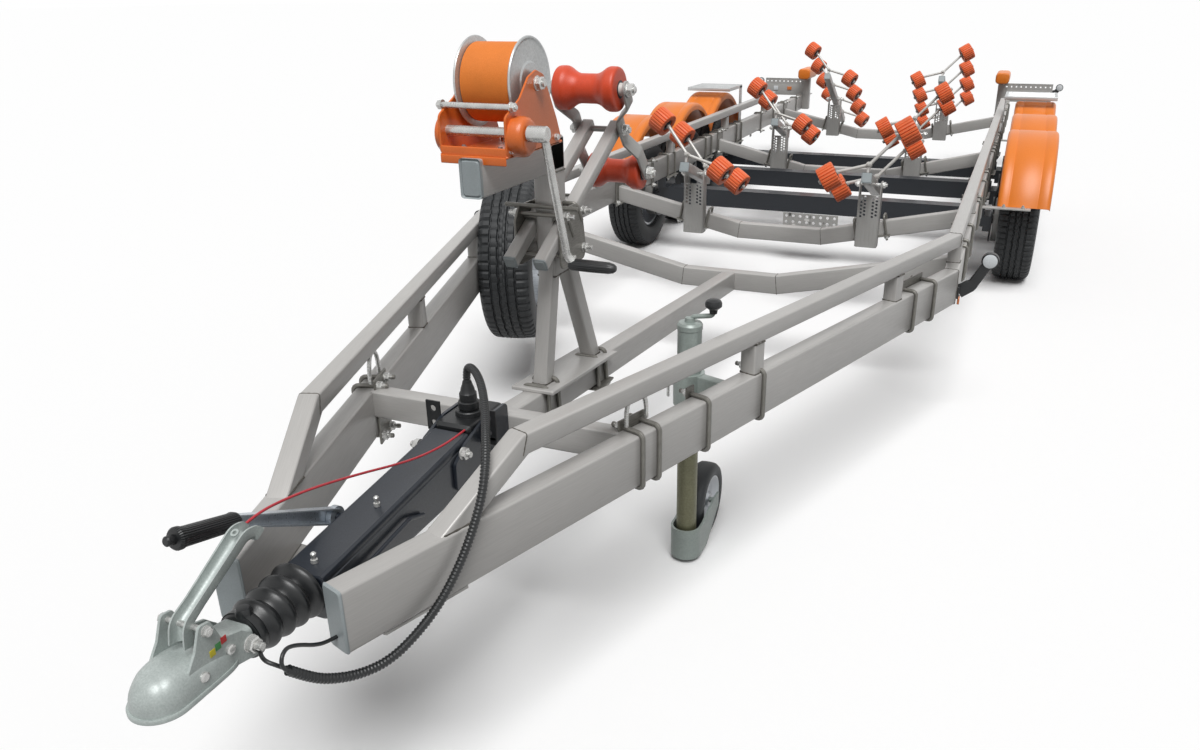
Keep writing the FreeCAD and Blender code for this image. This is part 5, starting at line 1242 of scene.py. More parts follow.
@dataclass
class Winch:
    """Strap winch: folded orange frame, drum with rolled flanges, wound strap and crank."""

    drum: tuple[float, float] = (0.868, 0.724)
    shaft: tuple[float, float] = (0.752, 0.634)
    tie: tuple[float, float] = (0.748, 0.686)
    half: float = 0.082

    def frame(self) -> list[Surface]:
        """Floor with its folded lips, two cheeks and the domed gear covers."""
        left = rounded_polygon([(0.722, 0.583), (0.985, 0.583), (0.960, 0.640), (0.904, 0.740),
                                (0.868, 0.752), (0.832, 0.740), (0.790, 0.700), (0.722, 0.668)], 0.016)
        parts = [bar(at(0, 0.722, 0.5860), at(0, 0.985, 0.5860), 0.164, 0.006, 0.002)]
        for sign in (1, -1):
            parts.append(plate(left, 0.005, at(sign * 0.0795, 0, 0), Y, Z, 0.0012))
        parts.append(bar(at(-0.080, 0.7245, 0.594), at(0.080, 0.7245, 0.594), 0.005, 0.022, 0.002))
        parts.append(bar(at(-0.080, 0.7205, 0.578), at(0.080, 0.7205, 0.578), 0.004, 0.018, 0.0018))
        for sign, width in ((1, 0.034), (-1, 0.014)):
            dome = [(0, 0.042), (width * 0.55, 0.042), (width * 0.80, 0.040), (width * 0.94, 0.036),
                    (width, 0.030), (width, 0.0125)]
            parts.append(lathe([(0, 0.0125)] + dome, at(sign * self.half, 0.764, 0.625), sign * X, 40))
        return parts

    def fasteners(self) -> tuple[list[Surface], list[Surface]]:
        """Tie rod and crank shaft, and the bolts in the cheeks and the floor."""
        half = self.half
        rods = [pin(at(0, *self.tie), X, half, 0.0065), pin(at(0, *self.shaft), X, 0.077, 0.0105, 24)]
        nuts = []
        for sign in (1, -1):
            nuts += bolt(at(sign * half, *self.drum), sign * X, 0.016, 0.006)
            nuts += bolt(at(sign * half, *self.tie), sign * X, 0.011, 0.004)
            for spot in ((0.738, 0.600), (0.900, 0.606), (0.950, 0.600)):
                nuts += bolt(at(sign * half, *spot), sign * X, 0.008, 0.001)
        for back in (0.760, 0.940):
            for x in (0.045, -0.045):
                nuts += bolt(at(x, back, 0.589), Z, 0.010, 0.004)
        return rods, nuts

    def flanges(self) -> list[Surface]:
        """Two flanges with rolled rims, and the spool between them."""
        profile = [(0.0615, 0.0095), (0.0615, 0.088), (0.0625, 0.0915), (0.0632, 0.0955), (0.0655, 0.0970),
                   (0.0680, 0.0955), (0.0682, 0.0925), (0.0662, 0.0895), (0.0655, 0.086), (0.0655, 0.046),
                   (0.0680, 0.042), (0.0680, 0.018), (0.0700, 0.016), (0.0700, 0.0095)]
        spool = [(-0.062, 0.0095), (-0.062, 0.0365), (0.062, 0.0365), (0.062, 0.0095)]
        return [*(lathe(profile, at(0, *self.drum), sign * X, 72, loop=True) for sign in (1, -1)),
                lathe(spool, at(0, *self.drum), X, 40, loop=True)]

    def strap(self) -> Surface:
        """The wound strap: its edges show as fine rings, one for each turn of webbing."""
        turns = 33
        radius = np.linspace(0.0366, 0.0836, turns)
        edge = 0.0590 + 0.0008 * (np.arange(turns) % 2)
        side = np.stack([edge, radius], axis=-1)
        crown = np.stack([np.linspace(0.057, -0.057, 9), np.full(9, 0.0840)], axis=-1)
        profile = np.concatenate([side, crown, side[::-1] * (-1, 1)])
        return lathe(profile, at(0, *self.drum), X, 64, loop=True)

    def crank(self) -> tuple[list[Surface], list[Surface]]:
        """Hub sleeve, bent round arm and the tapered grip with its rounded end."""
        hub, elbow = at(0.1545, *self.shaft), at(0.1545, 0.848, 0.334)
        sleeve = [(-0.038, 0.0), (-0.038, 0.0105), (-0.034, 0.0105), (-0.034, 0.017), (0.006, 0.017),
                  (0.009, 0.0145), (0.009, 0.0)]
        arm = rounded([hub + 0.004 * (hub - elbow), elbow, elbow + 0.100 * X], 0.030, 8)
        grip = [(0.0, 0.0), (0.0, 0.0098), (0.0, 0.0118), (0.006, 0.0138), (0.050, 0.0140), (0.095, 0.0132),
                (0.108, 0.0105), (0.1135, 0.0060), (0.1150, 0.0)]
        ribs = 1 - 0.05 * (np.arange(48) % 4 == 0)
        steel = [lathe(sleeve, hub, X, 32), round_bar(arm, 0.009, np.cross(unit(elbow - hub), X), 16)]
        return steel, [lathe(grip, elbow + 0.003 * X, X, 48, ripple=ribs)]

    def dress(self) -> None:
        """Builds the winch."""
        make("winch_cradle", self.frame(), WINCH_ORANGE, "chassis", ("winch_frame",))
        rods, nuts = self.fasteners()
        make("winch_rods", rods + nuts, BRIGHT, "chassis")
        make("drum_flanges", self.flanges(), FLANGE, "winch_drum", ("winch_drum",))
        make("wound_strap", [self.strap()], WEBBING, "winch_drum", ("winch_strap",), 50)
        steel, grip = self.crank()
        make("crank_arm", steel, BRIGHT, "winch_crank", ("winch_crank",))
        make("crank_grip", grip, RUBBER, "winch_crank")


@dataclass
class BowStop:
    """Joggled yoke with the bow roller above it and the lower roller behind it."""

    bow: tuple[float, float] = (1.322, 0.671)
    knee: tuple[float, float] = (1.388, 0.560)
    lower: tuple[float, float] = (1.502, 0.428)

    def yoke(self) -> list[Surface]:
        """Two flat bars, wide at the rollers and joggled in to the props, with the pins through them."""
        parts = []
        bow, knee, lower = (at(0, *spot) for spot in (self.bow, self.knee, self.lower))
        for sign in (1, -1):
            out, near, low = 0.1035 * sign * X, 0.0640 * sign * X, 0.0900 * sign * X
            path = rounded([bow + out, bow * 0.62 + knee * 0.38 + out, bow * 0.30 + knee * 0.70 + near,
                            knee + near,
                            knee * 0.76 + lower * 0.24 + near, knee * 0.48 + lower * 0.52 + low, lower + low],
                           0.016, 4)
            parts.append(sweep(path, rounded_rectangle(0.042, 0.007, 0.0018, 2), X))
            for spot, shift in ((bow, out), (lower, low)):
                parts.append(lathe([(-0.0035, 0.0), (-0.0035, 0.0205), (-0.0025, 0.0215), (0.0025, 0.0215),
                                    (0.0035, 0.0205), (0.0035, 0.0)], spot + shift, X, 32))
        parts.append(pin(at(0, *self.knee), X, 0.0655, 0.008))
        for spot, half in ((self.bow, 0.107), (self.lower, 0.0935)):
            parts.append(pin(at(0, *spot), X, half, 0.009))
        return parts

    def nuts(self) -> list[Surface]:
        """Washers and nuts at the ends of the three pins."""
        parts = []
        for sign in (1, -1):
            for half, spot, thread in ((0.107, self.bow, 0.018), (0.0675, self.knee, 0.016),
                                       (0.0935, self.lower, 0.018)):
                parts += bolt(at(sign * half, *spot), sign * X, thread, 0.006)
        return parts

    def roller(self, half: float, end: float, waist: float) -> list:
        """Hourglass profile: rounded ends, a flat band, and a long hollow that rises in a smooth curve."""
        side = smooth([(half, 0.020), (half, end * 0.74), (half * 0.985, end * 0.92),
                       (half * 0.93, end * 0.99),
                       (half * 0.80, end), (half * 0.66, end * 0.995), (half * 0.46, waist * 1.16),
                       (half * 0.30, waist), (half * 0.10, waist)], 3)
        recess = np.array([(half - 0.010, 0.0096), (half - 0.010, 0.0195)])
        profile = np.concatenate([recess, side, side[::-1] * (-1, 1), recess[::-1] * (-1, 1)])
        return profile.tolist()

    def dress(self) -> None:
        """Builds the yoke and both rollers."""
        make("yoke_bars", self.yoke(), PLATE, "chassis", ("bow_yoke",))
        make("yoke_nuts", self.nuts(), BRIGHT, "chassis")
        spacers = []
        for sign in (1, -1):
            spacers.append(lathe([(0.0, 0.0096), (0.0, 0.017), (0.0115, 0.015), (0.0115, 0.0096)],
                                 at(sign * 0.0885, *self.bow), sign * X, 24, loop=True))
            spacers.append(lathe([(0.0, 0.0096), (0.0, 0.016), (0.0055, 0.016), (0.0055, 0.0096)],
                                 at(sign * 0.0805, *self.lower), sign * X, 24, loop=True))
        make("yoke_spacers", spacers, WHITE_NYLON, "chassis")
        for name, node, body, spot, sizes in (
            ("bow_roller_rubber", "bow_roller", "bow_roller", self.bow, (0.088, 0.057, 0.038)),
            ("lower_roller_rubber", "lower_roller", "lower_roller", self.lower, (0.080, 0.050, 0.033)),
        ):
            make(name, [lathe(self.roller(*sizes), at(0, *spot), X, 64, loop=True)], BOW_ROLLER, body,
                 (node,), 40)
            bush = [(sizes[0] - 0.004, 0.0096), (sizes[0] - 0.004, 0.022), (sizes[0] + 0.0002, 0.023),
                    (sizes[0] + 0.0002, 0.0096)]
            bushes = [lathe(bush, at(0, *spot), sign * X, 32, loop=True) for sign in (1, -1)]
            make(name.replace("rubber", "bushes"), bushes, NYLON, body)


# Overrun coupling


@dataclass
class Coupling:
    """Pressed coupling head with its folded lever, bellows, overrun housing, plug holder and handbrake."""

    half: float = 0.046
    reach: float = 0.112
    ball_back: float = -0.260
    socket: float = 0.0255
    socket_rise: float = -0.042
    housing_ends: tuple[float, float] = (0.050, 0.550)

    def head(self) -> Surface:
        """The head as rings about the ball's axis, over the domed top, down to the rolled rim and up into the
        socket.

        A ring at share u of the edge lies u times the edge's distance away, and stands at
        base + height * (1 - u^p)^(1/2), where p is 2.4 at the round nose and 5.4 along the straight sides.
        """
        x, y = circle(1.0, 96).T
        rear = np.maximum(y, 0.0)
        edge = np.where(y > 0, ((np.abs(x) / self.half) ** 8 + (rear / self.reach) ** 8) ** (-1 / 8),
                        self.half)
        power = 2.4 + 3 * np.clip(y + 0.5, 0, 1)
        base, rows = -0.060, []
        for u in (0.0, 0.25, 0.45, 0.62, 0.75, 0.85, 0.92, 0.965, 0.99, 1.0):
            behind = np.clip((u * edge * y - 0.030) / 0.060, 0, 1)
            high = -0.009 - 0.011 * behind * behind * (3 - 2 * behind)
            rows.append((u * edge, base + (high - base) * np.sqrt(1 - u ** power)))
        rows += [(edge + 0.003, base + 0.0005), (edge + 0.004, base - 0.001), (edge + 0.004, base - 0.007),
                 (edge + 0.003, base - 0.008), (edge * 0.93, base - 0.008), (self.socket, base - 0.008),
                 (self.socket, self.socket_rise)]
        for turn in np.radians((20, 40, 60, 80, 90)):
            rows.append((self.socket * math.cos(turn), self.socket_rise + self.socket * math.sin(turn)))
        points = np.stack([np.stack([radius * x, self.ball_back + radius * y, np.broadcast_to(rise, x.shape)],
                                    axis=-1) for radius, rise in rows])
        return grid(points + (0, FRONT, TOP))

    def neck(self) -> Surface:
        """Square neck that rises from the head over the shaft."""
        stations = ((-0.172, 0.080, -0.066, -0.022), (-0.150, 0.072, -0.072, -0.018),
                    (-0.128, 0.064, -0.086, -0.028),
                    (-0.104, 0.062, -0.091, -0.031), (-0.1035, 0.056, -0.088, -0.034))
        rings = []
        for back, width, low, high in stations:
            ring = rounded_rectangle(width, high - low, 0.012, 4)
            rings.append(np.stack([ring[:, 0], np.full(len(ring), back), ring[:, 1] + (low + high) / 2],
                                  axis=-1))
        return grid(np.stack(rings) + (0, FRONT, TOP), caps=True)

    def cheeks(self) -> tuple[list[Surface], list[Surface]]:
        """Side cheeks that hold the lever's pivot and the shaft's bolts."""
        outline = rounded_polygon([(-0.238, -0.050), (-0.104, -0.082), (-0.104, -0.046), (-0.132, -0.016),
                                   (-0.170, -0.004), (-0.184, 0.038), (-0.206, 0.042), (-0.222, 0.004),
                                   (-0.240, -0.020)], 0.008)
        parts, nuts = [], []
        for sign in (1, -1):
            parts.append(plate(outline, 0.005, at(sign * 0.0375, 0, 0), Y, Z, 0.001))
            nuts += bolt(at(sign * 0.0400, -0.196, 0.028), sign * X, 0.009, 0.001)
            nuts += bolt(at(sign * 0.0390, -0.120, -0.050), sign * X, 0.015, 0.012)
            for back, rise in ((-0.160, -0.032), (-0.218, -0.040)):
                nuts.append(lathe([(0, 0.0085), (0.004, 0.0085), (0.006, 0.006), (0.0065, 0.0)],
                                  at(sign * (0.0400 if back > -0.2 else 0.0425), back, rise), sign * X, 20))
        nuts.append(pin(at(0, -0.196, 0.028), X, 0.040, 0.005, 16))
        return parts, nuts

    def lever(self) -> list[Surface]:
        """Release lever: a channel folded round a smooth curve, narrower in its middle, with a hooked end."""
        path = rounded([at(0, -0.208, 0.000), at(0, -0.203, 0.034), at(0, -0.170, 0.052),
                        at(0, -0.064, 0.112), at(0, -0.044, 0.108), at(0, -0.038, 0.098)], 0.026, 6)
        span = np.linalg.norm(path - path[0], axis=1)
        scale = 1.0 - 0.20 * np.sin(np.clip(span / span.max(), 0, 1) * math.pi)
        half, deep, wall = 0.017, 0.011, 0.0035
        outer = [(deep, -half), (0.005 - deep, -half), (0.0015 - deep, 0.0015 - half), (-deep, 0.006 - half)]
        inner = [(deep, half - wall), (0.0085 - deep, half - wall), (wall - deep, half - 0.008)]
        profile = outer + [(a, -b) for a, b in outer[::-1]] + inner + [(a, -b) for a, b in inner[::-1]]
        ring = lathe([(-0.0005, 0.0035), (-0.0005, 0.0075), (0.0020, 0.0070), (0.0020, 0.0035)],
                     at(0, -0.072, 0.1175), np.array([0, -0.49, 0.87]), 24, loop=True)
        return [sweep(path, np.array(profile) * (-1, 1), X, scale=scale), ring]

    def bellows(self) -> list[Surface]:
        """Rubber sleeve: the radius follows a raised cosine over each of four folds that widen to the rear,
        and the folds lean a little, as stretched rubber does."""
        along = np.r_[-0.004, -0.004, 0.0, 0.010, np.linspace(0.018, 0.150, 73), 0.150][:, None]
        angle = (np.arange(72) * 2 * math.pi / 72)[None, :]
        share = (along - 0.018) / 0.033
        crest = 0.047 + 0.009 * np.clip(share / 3.5, 0, 1)
        fold = np.abs(0.5 - 0.5 * np.cos(2 * math.pi * share)) ** 0.62
        radius = np.where(share > 0, 0.0385 + (crest - 0.0385) * fold, 0.041)
        radius = radius * (1 + 0.012 * np.sin(2 * angle + share * 1.7) * (share > 0))
        radius[0], radius[-1], radius[1] = 0.0, 0.0, 0.036
        slant = 0.0035 * np.sin(angle + 0.8) * np.clip(np.minimum(share, 4 - share), 0, 1)
        body = round_surface(along + slant, radius, angle, at(0, -0.100, -0.062), Y)
        stud = lathe([(0, 0.0), (0, 0.014), (0.010, 0.013), (0.014, 0.0105), (0.015, 0.0)],
                     at(0.004, -0.090, -0.026), Z, 24)
        strap = lathe([(0.0005, 0.040), (0.0005, 0.0435), (0.008, 0.0440), (0.008, 0.040)],
                      at(0, -0.100, -0.062), Y, 48, loop=True)
        return [body, stud, strap]

    def top_of(self, back: float) -> float:
        """Height of the housing's sloping top above the beams' top."""
        start, end = self.housing_ends
        return -0.034 + 0.056 * (back - start) / (end - start)

    def housing(self) -> list[Surface]:
        """Tapered housing with a groove under each top edge, its cheeks, the handbrake's pivot pin on its
        left side and a bent rod along its right side.
        """
        corner = np.linspace(0, math.pi / 2, 5)
        rings = []
        for back, less in ((0.050, 0.003), (0.053, 0.0), (0.547, 0.0), (0.550, 0.003)):
            high, low = self.top_of(back) - less, -0.125 + 0.019 * (back - 0.050) / 0.500 + less
            half = 0.046 - less
            side = [(half, high - 0.020), (half - 0.002, high - 0.0185), (half - 0.002, high - 0.0135),
                    (half, high - 0.012), (half, high - 0.007), (half - 0.002, high - 0.003),
                    (half - 0.007, high), (half - 0.013, high - 0.0012)]
            base = [(half - 0.013 + 0.013 * math.sin(a), low + 0.013 - 0.013 * math.cos(a)) for a in corner]
            right = np.array(base + side)
            ring = np.concatenate([right, right[::-1] * (-1, 1)])
            rings.append(np.stack([ring[:, 0], np.full(len(ring), back), ring[:, 1]], axis=-1))
        parts = [grid(np.stack(rings) + (0, FRONT, TOP), caps=True)]
        cheek = rounded_polygon([(0.476, -0.086), (0.706, -0.086), (0.706, 0.034), (0.600, 0.034),
                                 (0.520, 0.010), (0.476, -0.020)], 0.014)
        parts += [plate(cheek, 0.008, at(sign * 0.050, 0, 0), Y, Z, 0.001) for sign in (1, -1)]
        parts.append(lathe([(0.046, 0.0), (0.046, 0.008), (0.077, 0.008), (0.079, 0.006), (0.079, 0.0)],
                           at(0, 0.230, -0.033), -X, 20))
        rod = rounded([at(0.056, 0.070, -0.118), at(0.056, 0.110, -0.078), at(0.055, 0.300, -0.052),
                       at(0.052, 0.350, -0.070)], 0.015, 5)
        parts.append(round_bar(rod, 0.0045, X, 10))
        return parts

    def holder(self) -> list[Surface]:
        """Moulded box for the parked plug, with a collar on top and two eared plates with holes."""
        parts = [bar(at(0, 0.553, -0.016), at(0, 0.7035, -0.016), 0.090, 0.099, 0.007)]
        parts.append(lathe([(-0.002, 0.0215), (-0.002, 0.032), (0.010, 0.031), (0.012, 0.029),
                            (0.012, 0.0215)],
                           at(0.005, 0.620, 0.034), Z, 40, loop=True))
        half = 0.018
        parts += [tile(at(sign * 0.071, 0.590, 0.046 - 0.036 * index), 0.42, 0.004, (half, half))
                  for sign in (1, -1) for index in range(2)]
        parts.append(bar(at(-0.088, 0.5925, -0.010), at(0.088, 0.5925, -0.010), 0.005, 0.020, 0.002))
        return parts

    def fasteners(self) -> list[Surface]:
        """Grease nipples on the housing's top and the bolts of its sides."""
        parts = []
        for back, x in ((0.082, 0.004), (0.262, 0.010)):
            profile = [(0, 0.0), (0, 0.0065), (0.007, 0.0065), (0.007, 0.0040), (0.014, 0.0040),
                       (0.015, 0.0055), (0.019, 0.0055), (0.0215, 0.003), (0.0215, 0.0)]
            parts.append(lathe(profile, at(x, back, self.top_of(back) - 0.001), Z, 16))
        for sign in (1, -1):
            for x, back, rise, thread, stand in ((0.054, 0.505, -0.004, 0.014, 0.008),
                                                 (0.054, 0.640, -0.060, 0.012, 0.006),
                                                 (0.046, 0.150, -0.085, 0.010, 0.003)):
                parts += bolt(at(sign * x, back, rise), sign * X, thread, stand)
        return parts

    def handbrake(self) -> tuple[list[Surface], list[Surface]]:
        """Folded lever that is open to its side, and its ribbed grip with a flared end and a button."""
        root, grip, tip = at(-0.068, 0.230, -0.033), at(-0.068, -0.006, 0.088), at(-0.068, -0.131, 0.124)
        profile = np.array([(-0.011, 0.007), (-0.0115, -0.0065), (0.0115, -0.0065), (0.011, 0.007),
                            (0.0088, 0.007), (0.0088, -0.0045), (-0.0088, -0.0045), (-0.0088, 0.007)])
        path = rounded([root, grip, grip + 0.3 * (tip - grip)], 0.05, 5)
        scale = np.r_[1.5, np.full(len(path) - 2, 1.0), 0.85]
        eye = lathe([(-0.006, 0.0085), (-0.006, 0.021), (0.006, 0.021), (0.006, 0.0085)], root, X, 32,
                    loop=True)
        way = unit(tip - grip)
        sleeve = [(0.000, 0.0), (0.000, 0.0150), (0.008, 0.0172), (0.014, 0.0160), (0.112, 0.0172),
                  (0.118, 0.0192),
                  (0.124, 0.0192), (0.128, 0.0160), (0.129, 0.0085), (0.142, 0.0085), (0.1445, 0.0060),
                  (0.1445, 0.0)]
        ribs = np.where(np.arange(112) % 4 < 3, 1.0, 0.93)
        return [sweep(path, profile, X, scale=scale), eye], [lathe(sleeve, grip, way, 112, ripple=ribs)]

    def dress(self) -> None:
        """Builds the coupling from its nose to the plug's holder."""
        parts, nuts = self.cheeks()
        make("coupling_press", [self.head(), self.neck()] + parts, GALVANISED, "chassis", ("coupling_head",),
             38)
        make("coupling_bolts", nuts, BRIGHT, "chassis")
        make("release_lever", self.lever(), GALVANISED, "chassis", ("coupling_lever",), 50)
        make("bellows_rubber", self.bellows(), RUBBER, "chassis", ("bellows",), 50)
        make("overrun_body", self.housing(), NAVY, "chassis", ("overrun_housing",))
        make("plug_holder", self.holder(), NYLON, "chassis")
        make("overrun_bolts", self.fasteners(), BRIGHT, "chassis")
        steel, grip = self.handbrake()
        make("handbrake_bar", steel, BRIGHT_SHEET, "chassis", ("handbrake_lever",))
        make("handbrake_grip", grip, RUBBER, "chassis")
        for index, finish in enumerate((YELLOW_INK, GREEN_INK, RED_INK)):
            spot = at(0.0404, -0.192 + 0.012 * index, -0.016 + 0.004 * index)
            make(f"wear_mark_{index}", [bar(spot - 0.0055 * Y, spot + 0.0055 * Y, 0.0008, 0.012, 0.0003)],
                 finish, "chassis")


# Roller posts and cradles


@dataclass
class Cradles:
    """Perforated channels with rocking tubes, bent rods and ribbed hull rollers."""

    side: float = 0.440
    width: float = 0.104
    deep: float = 0.056
    wall: float = 0.005
    pitch: float = 0.017
    ear_top: float = 0.063
    inner: tuple[float, float] = (-0.176, -0.003)
    outer: tuple[float, float] = (0.152, 0.221)
    slope: float = 34.0
    ribs: int = 24
    pivot_rise: float = 0.050
    holes: int = 6

    def post(self, back: float) -> list[Surface]:
        """Channel whose web has two groups of staggered holes above the crossmember."""
        front, low, top = back - self.deep, -0.250, 0.066
        parts = []
        for sign in (1, -1):
            outline = rounded_polygon([(front, low), (back, low), (back, top), (front + 0.008, top),
                                       (front, top - 0.060)], 0.006, 3)
            parts.append(plate(outline, self.wall, at(self.side + sign * (self.width - self.wall) / 2, 0, 0),
                               Y, Z, 0.0008))
        web_top, half = 0.004, self.pitch / 2

        def slab(x0: float, x1: float, z0: float, z1: float) -> None:
            """A solid strip of the web."""
            middle = at(self.side + (x0 + x1) / 2, front + self.wall / 2, 0)
            parts.append(bar(middle + z0 * Z, middle + z1 * Z, x1 - x0, self.wall, 0.0002, Y))

        edge = self.width / 2 - self.wall
        columns = (-0.036, -0.019, 0.019, 0.036)
        slab(-edge, columns[0] - half, low, web_top)
        slab(columns[1] + half, columns[2] - half, low, web_top)
        slab(columns[3] + half, edge, low, web_top)
        for index, x in enumerate(columns):
            start = -0.108 + half * (index % 2)
            for step in range(self.holes):
                middle = at(self.side + x, front, start + self.pitch * (step + 0.5))
                parts.append(tile(middle, 0.74, self.wall, (half, half)))
            slab(x - half, x + half, low, start)
            slab(x - half, x + half, start + self.holes * self.pitch, web_top)
        return parts

    def pivot(self, back: float) -> list[Surface]:
        """Pivot bolt through the channel's flanges."""
        spot = at(self.side, back - self.deep / 2, self.pivot_rise)
        half = self.width / 2
        parts = [pin(spot, X, half, 0.0078)]
        for sign in (1, -1):
            parts += bolt(spot + sign * half * X, sign * X, 0.016, 0.008)
        return parts

    def roller(self, centre: np.ndarray, axis: np.ndarray) -> tuple[Surface, list[Surface], list[Surface]]:
        """Ribbed rubber, its black hub and the nuts at its ends."""
        side = [(0.027, 0.0088), (0.027, 0.0300), (0.0400, 0.0345), (0.0400, 0.0555), (0.0385, 0.0585),
                (0.0350, 0.0600), (0.0120, 0.0605)]
        profile = side + [(-a, r) for a, r in side[::-1]]
        ripple = np.where(np.arange(self.ribs * 4) % 4 < 3, 1.0, 0.915)
        rubber = lathe(profile, centre, axis, self.ribs * 4, loop=True, ripple=ripple)
        hubs, nuts = [], []
        for way in (axis, -axis):
            hubs.append(lathe([(0.024, 0.0082), (0.024, 0.0290), (0.0330, 0.0300), (0.0335, 0.0190),
                               (0.0410, 0.0175), (0.0410, 0.0082)], centre, way, 28, loop=True))
            nuts += bolt(centre + 0.041 * way, way, 0.011, 0.001)
        return rubber, hubs, nuts

    def cradle(self, length: float, rows: int) -> dict[str, list[Surface]]:
        """One cradle in its pivot's own frame, as lists of surfaces for each finish."""
        parts: dict[str, list[Surface]] = {"tube": [], "caps": [], "rods": [], "rubber": [], "hubs": []}
        half, size = length / 2, 0.046
        parts["tube"].append(bar(-half * Y, half * Y, size, size, 0.004, bevel=0.0005))
        parts["caps"] += [bar(sign * (half - 0.001) * Y, sign * (half + 0.004) * Y, size + 0.001,
                              size + 0.001, 0.004)
                          for sign in (1, -1)]
        way = np.array([math.cos(math.radians(self.slope)), 0, math.sin(math.radians(self.slope))])
        for row in np.linspace(-half + 0.024, half - 0.024, rows):
            shift = row * Y
            inner, outer = (np.array([u, 0, w]) + shift for u, w in (self.inner, self.outer))
            middle = self.ear_top * Z + shift
            reach = 0.048 * way
            path = rounded([inner - reach, inner + reach, middle, outer - reach, outer + reach], 0.030, 6)
            parts["rods"].append(round_bar(path, 0.008, Y, 12))
            parts["tube"].append(bar(0.020 * Z + shift, self.ear_top * Z + shift, 0.030, 0.012, 0.002, X))
            parts["rods"].append(pin(middle, Y, 0.016, 0.0125, 24))
            parts["rods"] += bolt(middle + 0.016 * Y, Y, 0.010, 0.002)
            parts["rods"] += bolt(middle - 0.016 * Y, -Y, 0.010, 0.002)
            for centre in (inner, outer):
                rubber, hubs, nuts = self.roller(centre, way)
                parts["rubber"].append(rubber)
                parts["hubs"] += hubs
                parts["rods"] += nuts
        return parts

    def dress(self) -> None:
        """Builds the posts and the six cradles."""
        backs = {"front": 3.590, "middle": 5.400, "rear": 7.340}
        posts = [surface for back in backs.values() for surface in self.post(back)]
        make("post_channels", both_sides(posts), PLATE, "chassis", ("roller_posts",))
        pins = [surface for back in backs.values() for surface in self.pivot(back)]
        make("post_pivots", both_sides(pins), BRIGHT, "chassis")
        sizes = {"front": (0.372, 19.0, 2), "middle": (0.372, 19.0, 2), "rear": (0.950, 27.0, 4)}
        finishes = {"tube": (STAINLESS, "galvanised_steel"), "caps": (CAP, None), "rods": (ROD, "zinc_steel"),
                    "rubber": (ROLLER, "orange_rubber"), "hubs": (NYLON, "black_rubber")}
        for end, (length, tilt, rows) in sizes.items():
            c, s = math.cos(math.radians(tilt)), math.sin(math.radians(tilt))
            turn = np.array([[1, 0, 0], [0, c, s], [0, -s, c]])
            spot = at(self.side, backs[end] - self.deep / 2, self.pivot_rise)
            for kind, shapes in self.cradle(length, rows).items():
                right = [shape.turned(turn).moved(spot) for shape in shapes]
                finish, slot = finishes[kind]
                for side in ("right", "left"):
                    node = {"tube": (f"cradle_{end}_{side}",),
                            "rubber": (f"hull_rollers_{end}_{side}",)}.get(kind, ())
                    placed = right if side == "right" else [shape.mirrored() for shape in right]
                    make(f"cradle_{kind}_{end}_{side}", placed, finish, f"cradle_{end}_{side}", node)


# Jockey wheel


